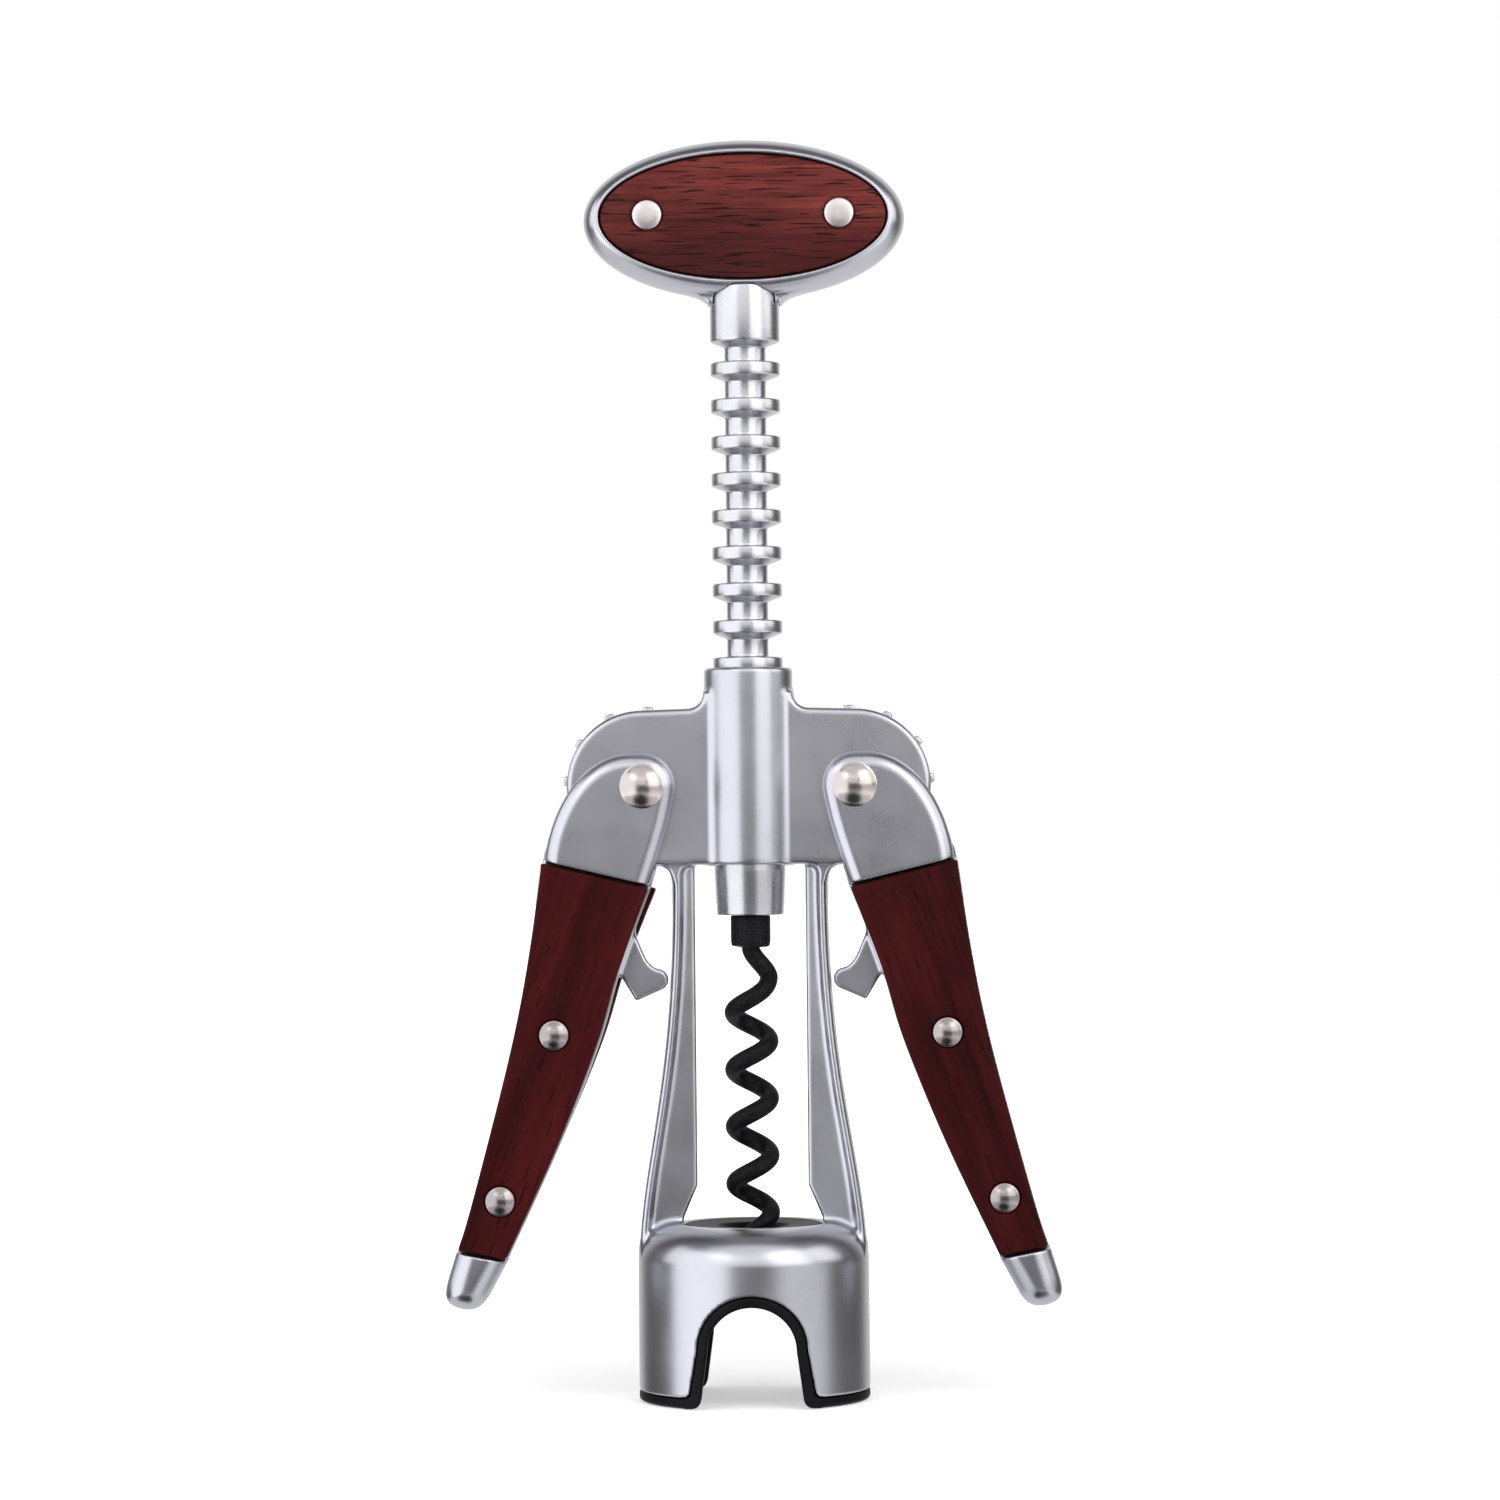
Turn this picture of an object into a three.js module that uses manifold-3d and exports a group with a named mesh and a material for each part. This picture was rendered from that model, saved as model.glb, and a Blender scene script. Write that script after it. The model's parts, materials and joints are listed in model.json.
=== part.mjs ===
// A winged corkscrew with two levers, a ringed rack and a turning oval handle.
// Millimetres, +Z up, +X to the right lever, +Y to the back.
// The origin is on the axis, in the plane of the feet under the bell.

import * as THREE from 'three';
import { mergeVertices } from 'three/addons/utils/BufferGeometryUtils.js';
import Module from 'manifold-3d';

const wasm = await Module();
wasm.setup();

// ---- driving dimensions -----------------------------------------------------------------

const ROUND_STEPS = 32; // facets round the bell and barrel
const SHAFT_STEPS = 20; // facets round the rack shaft and what sits on it
const SMALL_STEPS = 16; // facets round a pin, rivet or hole
const ARC_STEPS = 5; // points along each curve of an outline
const GAP = 0.1; // between pieces that are seated in one another
const RUN = 0.3; // between pieces that move past one another

// Gears and rack
const TEETH_PER_TURN = 12;
const TEETH_IN_SECTOR = 7;
const RACK_PITCH = 5.74;
const PITCH_R = TEETH_PER_TURN * RACK_PITCH / (2 * Math.PI);
const TOOTH_TIP_R = 12.4;
const TOOTH_ROOT_R = 9.6;
const TOOTH_HALF_AT_PITCH = 1.2;
const TOOTH_HALF_AT_TIP = 0.6;
const FIRST_TOOTH_DEG = 184.2; // the tooth that is in mesh while the levers hang down
const PIVOT_X = 16.5;
const PIVOT_Z = 95.7;

// Rack shaft, seen from the top down
const RING_R = 5.4;
const RING_ROOT_R = 3.2;
const RING_EDGE = 2; // height of a ring's rim
const RING_CONE = 0.85; // extra height of a ring's underside at its root
const RING_COUNT = 13;
const TOP_RING_Z = 160.55;
const NECK_FOOT_Z = 164.8;
const NECK_TOP_Z = 173.5;
const SPIGOT_R = 2.6;
const SPIGOT_TOP_Z = 181;

// Frame casting
const BARREL_R = 6.86;
const BARREL_FOOT_Z = 83.4;
const BARREL_TOP_Z = 114;
const BARREL_BORE_R = 5.7;
const CHEEK_R = 11.8;
const CHEEK_HALF = 3.95; // half the width across both cheeks
const CHEEK_TOP_Z = 107.7;
const SLOT_HALF = 2.15; // half the slot that the gears turn in
const CHEEK_FILLET = 2.6; // between the cheeks' top edge and the barrel
const LEG_TOP_X = 12.3; // outer edge of a leg where it leaves the cheeks
const LEG_TOP_Z = 77.8;
const LEG_FOOT_Z = 20;
const LEG_FILLET = 2.2;
const LEG_INNER_FILLET = 1.2;
const LEG_WEB_HALF = 1.3;
const LEG_WEB_INNER_X = 8.66;
const LEG_FLANGE = 1.6;
const BELL_R = 18;
const BELL_WALL = 1.6;
const BELL_SHOULDER_R = 6;
const BELL_TOP_Z = 27.5;
const BELL_OPENING_R = 10.9;
const BELL_FOOT_Z = 1.7;

// Bottle guide liner
const LINER_WALL = 0.95;
const LINER_TOP_Z = 27.2;
const LINER_FLOOR_Z = 24.2; // the flat face that rests on the lip of the bottle
const LIP_SEAT_R = 14.4; // and how far out it is flat
const WORM_HOLE_R = 4.9;

// Arches in the front and back of the bell: crown radius, crown height and half width at the foot
const METAL_ARCH = { r: 8.5, top: 17.5, foot: 9.6 };
const LINER_ARCH = { r: 6.85, top: 15.8, foot: 7.8 };
const ARCH_STRAIGHT_Z = 0.6; // an arch's sides spread down to this height

// Levers
const LEVER_HALF = 6.3; // half the full thickness of a lever
const CORE_HALF = SLOT_HALF - RUN;
const HEAD_INNER_Y = CHEEK_HALF + RUN;
const HEAD_R = 5.15; // round of the head about the pivot
const HEAD_CLEAR_R = TOOTH_TIP_R + 0.5;
const HEAD_BEVEL = 1.1;
const BARREL_CLEAR_R = HEAD_CLEAR_R + 3.4;
const SCALE_FACE_Y = 6.2;
const SCALE_EDGE = 0.3;
const SCALE_GAP = 0.4; // between the wood and the metal at each end of it
const SCALE_INSET = 0.4; // metal that shows along each edge of the wood
const SCALE_SLIP = 0.9; // how far in the left lever's back scale sits at its top
const SCALE_SLIP_FOOT_Z = 40; // and where it is back in line
const LEVER_RIVETS = [{ name: 'upper', x: 30.5, z: 57.2 }, { name: 'lower', x: 39.1, z: 31.5 }];
const HOOK_HALF = 1.4;

// Fasteners
const PIVOT_PIN_R = 2;
const PIVOT_HEAD_R = 3.45;
const PIVOT_HEAD_H = 1.3;
const RIVET_R = 1.2;
const RIVET_HEAD_R = 2.25;
const RIVET_HEAD_H = 0.8;

// Handle
const HANDLE_Z = 183.8;
const HANDLE_HALF_X = 25;
const HANDLE_HALF_Z = 12.4;
const HANDLE_HALF_Y = 5.5;
const HANDLE_RIM = 2.6; // width of the rounded rim round the wood
const HANDLE_CORE_HALF = 3.3;
const SKIRT_HALF = 3; // half the width, in Y, of the handle's small skirt at each side of the neck
const HANDLE_SCALE_Y = 5.2;
const HANDLE_RIVET_X = 14.9;
const HANDLE_RIVET_Z = 184.3;
const WOOD_Z = 184; // middle of the handle's wood, a little above the middle of the handle
const HANDLE_RIVET_H = 0.45;
const OVAL_STEPS = 20; // half the facets round the oval
const CROSS_PIN_R = 0.9;
const CROSS_PIN_Z = 178.6;

// Collar, hub and worm
const COLLAR_TOP_R = 5.5;
const COLLAR_FOOT_R = 5.2;
const COLLAR_TOP_Z = 89.8;
const COLLAR_FOOT_Z = 75.5;
const HUB_R = 3.1;
const HUB_FOOT_Z = 70.4;
const WIRE_R = 1.4;
const WORM_R = 2.8;
const WORM_PITCH = 8.9;
const WORM_CREST_Z = 55.8; // one of the heights where the wire passes straight to +X
const WORM_START_Z = 65.6; // where the coil has reached its full radius
const EVEN_PITCH_Z = 60.25; // above this the coil straightens towards the hub
const STRAIGHTEN_LENGTH = 7;
const WORM_END_Z = 27.5;
const WORM_SHANK_TOP_Z = 85;
const WORM_POINT_LENGTH = 4;
const WIRE_STEPS = 84;

// ---- materials --------------------------------------------------------------------------

const satinMetal = () => new THREE.MeshStandardMaterial({ color: 0xb9babd, roughness: 0.35, metalness: 1 });
const nickel = () => new THREE.MeshStandardMaterial({ color: 0xc9bfae, roughness: 0.25, metalness: 1 });
const redWood = () => new THREE.MeshStandardMaterial({ color: 0x5a1a14, roughness: 0.5, metalness: 0 });
const blackPlastic = () => new THREE.MeshStandardMaterial({ color: 0x161616, roughness: 0.5, metalness: 0 });
const blackCoating = () => new THREE.MeshStandardMaterial({ color: 0x1d1d1e, roughness: 0.6, metalness: 0.2 });

// ---- solids -----------------------------------------------------------------------------

// A closed three.js geometry as a manifold solid.
function solid(geometry) {
  geometry.deleteAttribute('normal');
  geometry.deleteAttribute('uv');
  const merged = mergeVertices(geometry, 1e-4);
  const mesh = new wasm.Mesh({
    numProp: 3,
    vertProperties: new Float32Array(merged.attributes.position.array),
    triVerts: new Uint32Array(merged.index.array),
  });
  mesh.merge();
  return new wasm.Manifold(mesh);
}

function joined(parts) {
  return parts.reduce((whole, part) => whole.add(part));
}

function without(whole, cutters) {
  return cutters.reduce((rest, cutter) => rest.subtract(cutter), whole);
}

function namedMesh(name, shape, material) {
  const { vertProperties, triVerts } = shape.getMesh();
  const geometry = new THREE.BufferGeometry();
  geometry.setAttribute('position', new THREE.BufferAttribute(vertProperties, 3));
  geometry.setIndex(new THREE.BufferAttribute(triVerts, 1));
  geometry.computeVertexNormals();
  const mesh = new THREE.Mesh(geometry, material);
  mesh.name = name;
  return mesh;
}

// A profile of [radius, height] pairs turned about the Z axis.
function turned(profile, steps = ROUND_STEPS) {
  const points = profile.map(([r, z]) => new THREE.Vector2(r, z));
  return solid(new THREE.LatheGeometry(points, steps).rotateX(Math.PI / 2));
}

// A profile of [radius, distance along Y] pairs turned about a Y axis through x, z.
function pinAcross(profile, x, z) {
  const points = profile.map(([r, y]) => new THREE.Vector2(r, y));
  return solid(new THREE.LatheGeometry(points, SMALL_STEPS).translate(x, 0, z));
}

function rodAcross(r, half, x, z) {
  return pinAcross([[0, -half], [r, -half], [r, half], [0, half]], x, z);
}

function rodUp(r, low, high, steps = SHAFT_STEPS) {
  return turned([[0, low], [r, low], [r, high], [0, high]], steps);
}

// An outline in X and Z, extruded along Y from near to far.
function plate(shape, near, far, bevel = 0, steps = ARC_STEPS) {
  const geometry = new THREE.ExtrudeGeometry(shape, {
    depth: far - near - 2 * bevel,
    curveSegments: steps,
    bevelEnabled: bevel > 0,
    bevelSize: bevel,
    bevelThickness: bevel,
    bevelOffset: -bevel,
    bevelSegments: 1,
  });
  return solid(geometry.rotateX(Math.PI / 2).translate(0, far - bevel, 0));
}

// An outline drawn with x as the distance from the axis, put on the right (1) or left (-1).
function onSide(shape, side) {
  const points = shape.getPoints(ARC_STEPS).map((p) => new THREE.Vector2(p.x * side, p.y));
  return new THREE.Shape(points);
}

function arc(cx, cz, r, fromDeg, toDeg, steps = ARC_STEPS) {
  const points = [];
  for (let i = 0; i <= steps; i += 1) {
    const a = THREE.MathUtils.degToRad(fromDeg + (toDeg - fromDeg) * i / steps);
    points.push([cx + r * Math.cos(a), cz + r * Math.sin(a)]);
  }
  return points;
}

// ---- frame ------------------------------------------------------------------------------

// The outer edge of a leg, from the cheeks down to the bell, as [distance from axis, z].
function legOuterEdge(inset = 0) {
  const curve = new THREE.CubicBezierCurve(
    new THREE.Vector2(LEG_TOP_X, LEG_TOP_Z),
    new THREE.Vector2(LEG_TOP_X + 0.3, 47),
    new THREE.Vector2(BELL_R, 36.5),
    new THREE.Vector2(BELL_R, LEG_FOOT_Z),
  );
  return curve.getPoints(2 * ARC_STEPS).map((p) => [p.x - inset, p.y]);
}

// Both faces of one side of the frame: the cheeks that carry the pivot.
function cheekShape() {
  const shape = new THREE.Shape();
  const filletX = BARREL_R + CHEEK_FILLET;
  const filletZ = CHEEK_TOP_Z + CHEEK_FILLET;
  shape.moveTo(0, BARREL_FOOT_Z);
  shape.lineTo(0, filletZ);
  shape.lineTo(BARREL_R, filletZ);
  shape.absarc(filletX, filletZ, CHEEK_FILLET, Math.PI, 1.5 * Math.PI, false);
  shape.lineTo(PIVOT_X, PIVOT_Z + CHEEK_R);
  shape.absarc(PIVOT_X, PIVOT_Z, CHEEK_R, Math.PI / 2, -Math.PI / 2, true);
  shape.lineTo(PIVOT_X, BARREL_FOOT_Z);
  return shape;
}

function legFlangeShape() {
  const outsideX = LEG_TOP_X + LEG_FILLET;
  const insideX = LEG_TOP_X - LEG_FLANGE;
  const inCheekZ = BARREL_FOOT_Z + 0.5;
  const shape = new THREE.Shape();
  shape.moveTo(outsideX, inCheekZ);
  shape.lineTo(outsideX, BARREL_FOOT_Z);
  shape.absarc(outsideX, BARREL_FOOT_Z - LEG_FILLET, LEG_FILLET, Math.PI / 2, Math.PI, false);
  legOuterEdge().forEach(([x, z]) => shape.lineTo(x, z));
  shape.lineTo(BELL_R - LEG_FLANGE, LEG_FOOT_Z);
  legOuterEdge(LEG_FLANGE).reverse().forEach(([x, z]) => shape.lineTo(x, z));
  shape.lineTo(insideX, BARREL_FOOT_Z - LEG_INNER_FILLET);
  shape.lineTo(insideX - LEG_INNER_FILLET, BARREL_FOOT_Z);
  shape.lineTo(insideX - LEG_INNER_FILLET, inCheekZ);
  return shape;
}

// The web inside a leg. Its inner edge slants out to the rim of the bell's opening.
function legWebShape() {
  const shape = new THREE.Shape();
  shape.moveTo(LEG_WEB_INNER_X, BARREL_FOOT_Z + 0.5);
  shape.lineTo(LEG_TOP_X - LEG_FLANGE / 2, BARREL_FOOT_Z + 0.5);
  legOuterEdge(LEG_FLANGE / 2).forEach(([x, z]) => shape.lineTo(x, z));
  shape.lineTo(BELL_R - 2, BELL_TOP_Z - 2.7);
  shape.lineTo(BELL_OPENING_R + 0.6, BELL_TOP_Z - 0.7);
  shape.lineTo(LEG_WEB_INNER_X, BELL_TOP_Z + 5.9);
  return shape;
}

// The solid that the legs and bell are rounded to.
function legEnvelope() {
  const overCheeks = PIVOT_X + CHEEK_R;
  const overFillets = BARREL_FOOT_Z - LEG_FILLET + 0.4;
  return turned([
    [0, 0],
    [BELL_R, 0],
    ...legOuterEdge().reverse(),
    [LEG_TOP_X, overFillets - 2],
    [overCheeks, overFillets],
    [overCheeks, BARREL_FOOT_Z + 1],
    [0, BARREL_FOOT_Z + 1],
  ]);
}

function bellShell() {
  const shoulderX = BELL_R - BELL_SHOULDER_R;
  const shoulderZ = BELL_TOP_Z - BELL_SHOULDER_R;
  return turned([
    [BELL_R - BELL_WALL, BELL_FOOT_Z],
    [BELL_R, BELL_FOOT_Z],
    ...arc(shoulderX, shoulderZ, BELL_SHOULDER_R, 0, 90),
    [BELL_OPENING_R, BELL_TOP_Z],
    [BELL_OPENING_R, BELL_TOP_Z - BELL_WALL],
    ...arc(shoulderX, shoulderZ, BELL_SHOULDER_R - BELL_WALL, 90, 0),
    [BELL_R - BELL_WALL, BELL_FOOT_Z],
  ]);
}

// An arched doorway with a round crown and legs that spread towards the foot.
function archShape({ r, top, foot }, grow = 0) {
  const shape = new THREE.Shape();
  shape.moveTo(-foot - grow, -1);
  shape.lineTo(-foot - grow, ARCH_STRAIGHT_Z);
  shape.lineTo(-r - grow, top - r);
  shape.absarc(0, top - r, r + grow, Math.PI, 0, true);
  shape.lineTo(foot + grow, ARCH_STRAIGHT_Z);
  shape.lineTo(foot + grow, -1);
  return shape;
}

function frameCasting() {
  const sides = [-1, 1];
  const barrel = rodUp(BARREL_R, BARREL_FOOT_Z, BARREL_TOP_Z);
  const cheeks = sides.map((side) => plate(onSide(cheekShape(), side), -CHEEK_HALF, CHEEK_HALF));
  const flanges = sides.map((side) => plate(onSide(legFlangeShape(), side), -CHEEK_HALF, CHEEK_HALF));
  const webs = sides.map((side) => plate(onSide(legWebShape(), side), -LEG_WEB_HALF, LEG_WEB_HALF));
  const legs = joined([...flanges, ...webs]).intersect(legEnvelope());
  const body = joined([barrel, ...cheeks, legs, bellShell()]);
  const slots = sides.map((side) => (
    rodAcross(TOOTH_TIP_R + RUN, SLOT_HALF, side * PIVOT_X, PIVOT_Z)
  ));
  const pinHoles = sides.map((side) => (
    rodAcross(PIVOT_PIN_R + GAP, LEVER_HALF, side * PIVOT_X, PIVOT_Z)
  ));
  const bore = rodUp(BARREL_BORE_R, BARREL_FOOT_Z - 1, BARREL_TOP_Z + 1);
  const arches = plate(archShape(METAL_ARCH), -2 * BELL_R, 2 * BELL_R);
  return without(body, [...slots, ...pinHoles, bore, arches]);
}

function bottleGuideLiner() {
  const outerR = BELL_R - BELL_WALL - GAP;
  const innerR = outerR - LINER_WALL;
  const shoulderX = BELL_R - BELL_SHOULDER_R;
  const shoulderZ = BELL_TOP_Z - BELL_SHOULDER_R;
  const shoulderR = outerR - shoulderX;
  const bossR = BELL_OPENING_R - GAP;
  const cup = turned([
    [innerR, 0],
    [BELL_R - 0.3, 0],
    [BELL_R, 0.3],
    [BELL_R, BELL_FOOT_Z - GAP],
    [outerR, BELL_FOOT_Z - GAP],
    ...arc(shoulderX, shoulderZ, shoulderR, 0, 90),
    [bossR, shoulderZ + shoulderR],
    [bossR, LINER_TOP_Z],
    [WORM_HOLE_R, LINER_TOP_Z],
    [WORM_HOLE_R, LINER_FLOOR_Z],
    [LIP_SEAT_R, LINER_FLOOR_Z],
    [innerR, LINER_FLOOR_Z - 1.2],
    [innerR, 0],
  ]);
  const ring = turned([
    [innerR, 0],
    [BELL_R, 0],
    [BELL_R, METAL_ARCH.top],
    [innerR, METAL_ARCH.top],
    [innerR, 0],
  ]);
  const archLip = plate(archShape(METAL_ARCH, -GAP), -2 * BELL_R, 2 * BELL_R).intersect(ring);
  const doorway = plate(archShape(LINER_ARCH), -2 * BELL_R, 2 * BELL_R);
  return cup.add(archLip).subtract(doorway);
}

// ---- levers -----------------------------------------------------------------------------

// The edges of a lever's arm, from the head down to the tip, as [distance from axis, z].
const ARM_OUTER = [[32.5, 83], [34.1, 71.8], [36.1, 60.8], [38.9, 49], [43.9, 30.4], [46, 23.8]];
const ARM_INNER = [[15.4, 80.2], [20.3, 67.2], [23.7, 55.8], [30.1, 39.8], [38.3, 22.2]];

function smooth(points, inset = 0) {
  const curve = new THREE.SplineCurve(points.map(([x, z]) => new THREE.Vector2(x + inset, z)));
  return curve.getPoints(2 * ARC_STEPS);
}

function follow(shape, points) {
  points.forEach((p) => shape.lineTo(p.x, p.y));
}

// The head and its round about the pivot, down to the line where the wood starts.
function headShape() {
  const shape = new THREE.Shape();
  shape.moveTo(31.8, 84.2);
  shape.bezierCurveTo(31, 92.5, 25.5, 101.5, PIVOT_X + 1, PIVOT_Z + HEAD_R);
  shape.absarc(PIVOT_X, PIVOT_Z, HEAD_R, Math.PI / 2, Math.PI * 1.06, false);
  shape.bezierCurveTo(12.2, 90, 14, 85, 15.6, 80.3);
  return shape;
}

// The hollow in the head that passes the corner between cheek and barrel when a lever is up.
function barrelRoomShape() {
  const shape = new THREE.Shape();
  shape.absarc(PIVOT_X, PIVOT_Z, BARREL_CLEAR_R, -Math.PI / 5, Math.PI / 6, false);
  shape.lineTo(PIVOT_X, PIVOT_Z);
  return shape;
}

function coreShape() {
  const shape = new THREE.Shape();
  shape.moveTo(13.5, 90);
  shape.lineTo(23, 94);
  shape.lineTo(31.8, 86);
  follow(shape, smooth(ARM_OUTER));
  shape.lineTo(46, 20.5);
  shape.lineTo(40, 19.5);
  follow(shape, smooth(ARM_INNER).reverse());
  shape.lineTo(14.4, 84);
  return shape;
}

function tipShape() {
  const shape = new THREE.Shape();
  shape.moveTo(46.2, 23.6);
  shape.bezierCurveTo(47.2, 20, 48, 18.4, 47.9, 16.8);
  shape.bezierCurveTo(47.7, 15, 45.8, 14.6, 44.4, 14.5);
  shape.bezierCurveTo(42.8, 14.5, 42, 15.3, 41.3, 16.5);
  shape.lineTo(38.3, 22);
  return shape;
}

function scaleShape(slip) {
  const slipPerMm = slip / (ARM_INNER[0][1] - SCALE_SLIP_FOOT_Z);
  const inner = ARM_INNER.map(([x, z]) => [x - slipPerMm * Math.max(0, z - SCALE_SLIP_FOOT_Z), z]);
  const shape = new THREE.Shape();
  shape.moveTo(32.2 - SCALE_INSET, 83.5);
  follow(shape, smooth(ARM_OUTER, -SCALE_INSET));
  follow(shape, smooth(inner, SCALE_INSET).reverse());
  return shape;
}

// The stop and cap lifter that stands out of the inner edge of the arm.
function hookShape() {
  const shape = new THREE.Shape();
  shape.moveTo(19, 75);
  shape.lineTo(16.6, 69.3);
  shape.quadraticCurveTo(15.7, 67.4, 14, 67.1);
  shape.lineTo(13, 66);
  shape.lineTo(13, 64.8);
  shape.lineTo(13.6, 64.1);
  shape.lineTo(17.9, 62.2);
  shape.lineTo(20.6, 66.6);
  shape.lineTo(24, 66);
  return shape;
}

// The toothed sector about the pivot, and a plain round where it has no teeth.
function gearShape() {
  const toothAngle = 2 * Math.PI / TEETH_PER_TURN;
  const rising = [
    [TOOTH_ROOT_R, TOOTH_HALF_AT_PITCH + 0.2],
    [PITCH_R, TOOTH_HALF_AT_PITCH],
    [TOOTH_TIP_R, TOOTH_HALF_AT_TIP],
  ];
  const falling = rising.map(([r, half]) => [r, -half]).reverse();
  const points = [];
  const addPoint = (r, angle) => {
    points.push(new THREE.Vector2(PIVOT_X + r * Math.cos(angle), PIVOT_Z + r * Math.sin(angle)));
  };
  for (let tooth = 0; tooth < TEETH_PER_TURN; tooth += 1) {
    const middle = THREE.MathUtils.degToRad(FIRST_TOOTH_DEG) - tooth * toothAngle;
    if (tooth < TEETH_IN_SECTOR) {
      [...rising, ...falling].forEach(([r, across]) => addPoint(r, middle + across / r));
    } else {
      addPoint(TOOTH_ROOT_R, middle);
    }
    addPoint(TOOTH_ROOT_R, middle - toothAngle / 2);
  }
  return new THREE.Shape(points);
}

function leverCasting(side) {
  const onThisSide = (shape) => onSide(shape, side);
  const headBlock = plate(onThisSide(headShape()), -LEVER_HALF, LEVER_HALF, HEAD_BEVEL);
  const cheekRoom = rodAcross(HEAD_CLEAR_R, HEAD_INNER_Y, side * PIVOT_X, PIVOT_Z);
  const barrelRoom = plate(onThisSide(barrelRoomShape()), -HEAD_INNER_Y, HEAD_INNER_Y);
  const head = without(headBlock, [cheekRoom, barrelRoom]);
  const core = plate(onThisSide(coreShape()), -CORE_HALF, CORE_HALF);
  const gear = plate(onThisSide(gearShape()), -CORE_HALF, CORE_HALF);
  const tip = plate(onThisSide(tipShape()), -LEVER_HALF, LEVER_HALF, HEAD_BEVEL);
  const hook = plate(onThisSide(hookShape()), -HOOK_HALF, HOOK_HALF);
  const holes = LEVER_RIVETS.map(({ x, z }) => rodAcross(RIVET_R + GAP, LEVER_HALF, side * x, z));
  const pinHole = rodAcross(PIVOT_PIN_R + GAP, LEVER_HALF + 1, side * PIVOT_X, PIVOT_Z);
  return without(joined([head, core, gear, tip, hook]), [...holes, pinHole]);
}

// face is -1 for the front of the lever and 1 for its back.
function leverScale(side, face) {
  const near = face < 0 ? -SCALE_FACE_Y : CORE_HALF + GAP;
  const far = face < 0 ? -CORE_HALF - GAP : SCALE_FACE_Y;
  const slip = side < 0 && face > 0 ? SCALE_SLIP : 0;
  const blank = plate(onSide(scaleShape(slip), side), near, far, SCALE_EDGE);
  const head = plate(onSide(headShape(), side), -2 * LEVER_HALF, 2 * LEVER_HALF).translate(0, 0, -SCALE_GAP);
  const tip = plate(onSide(tipShape(), side), -2 * LEVER_HALF, 2 * LEVER_HALF).translate(0, 0, SCALE_GAP);
  const holes = LEVER_RIVETS.map(({ x, z }) => rodAcross(RIVET_R + GAP, 2 * LEVER_HALF, side * x, z));
  return without(blank, [head, tip, ...holes]);
}

// ---- fasteners --------------------------------------------------------------------------

// A shank with a domed head on both ends; seat is half the grip between the heads.
function doubleHeadedPin(shankR, headR, headH, seat, x, z) {
  const domeR = (headR * headR + headH * headH) / (2 * headH);
  const domeY = seat + headH - domeR;
  const edgeDeg = THREE.MathUtils.radToDeg(Math.asin((domeR - headH) / domeR));
  const dome = arc(0, domeY, domeR, edgeDeg, 90, 2);
  dome[dome.length - 1][0] = 0;
  const foot = dome.map(([r, y]) => [r, -y]).reverse();
  const shank = [[shankR, -seat], [shankR, seat]];
  return pinAcross([...foot, ...shank, ...dome], x, z);
}

function pivotPin(side) {
  return doubleHeadedPin(PIVOT_PIN_R, PIVOT_HEAD_R, PIVOT_HEAD_H, LEVER_HALF + GAP, side * PIVOT_X, PIVOT_Z);
}

function leverRivet(side, { x, z }) {
  return doubleHeadedPin(RIVET_R, RIVET_HEAD_R, RIVET_HEAD_H, SCALE_FACE_Y + GAP, side * x, z);
}

function handleRivet(side) {
  const seat = HANDLE_SCALE_Y + GAP;
  return doubleHeadedPin(RIVET_R, RIVET_HEAD_R, HANDLE_RIVET_H, seat, side * HANDLE_RIVET_X, HANDLE_RIVET_Z);
}

// ---- handle -----------------------------------------------------------------------------

function ovalShape(inset, middleZ = HANDLE_Z) {
  const shape = new THREE.Shape();
  const halfX = HANDLE_HALF_X - inset;
  const halfZ = HANDLE_HALF_Z - inset;
  shape.absellipse(0, middleZ, halfX, halfZ, 0, 2 * Math.PI, false, 0);
  return shape;
}

// The skirt that runs from the handle's lower rim down the side of the neck.
function skirtShape() {
  const low = HANDLE_Z - HANDLE_HALF_Z - 0.9;
  const shape = new THREE.Shape();
  shape.moveTo(RING_R - 1, low);
  shape.lineTo(RING_R + 0.25, low);
  shape.lineTo(RING_R + 1.2, low + 1.1);
  shape.lineTo(RING_R + 3.4, low + 2);
  shape.lineTo(RING_R - 1, low + 2.4);
  return shape;
}

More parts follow.
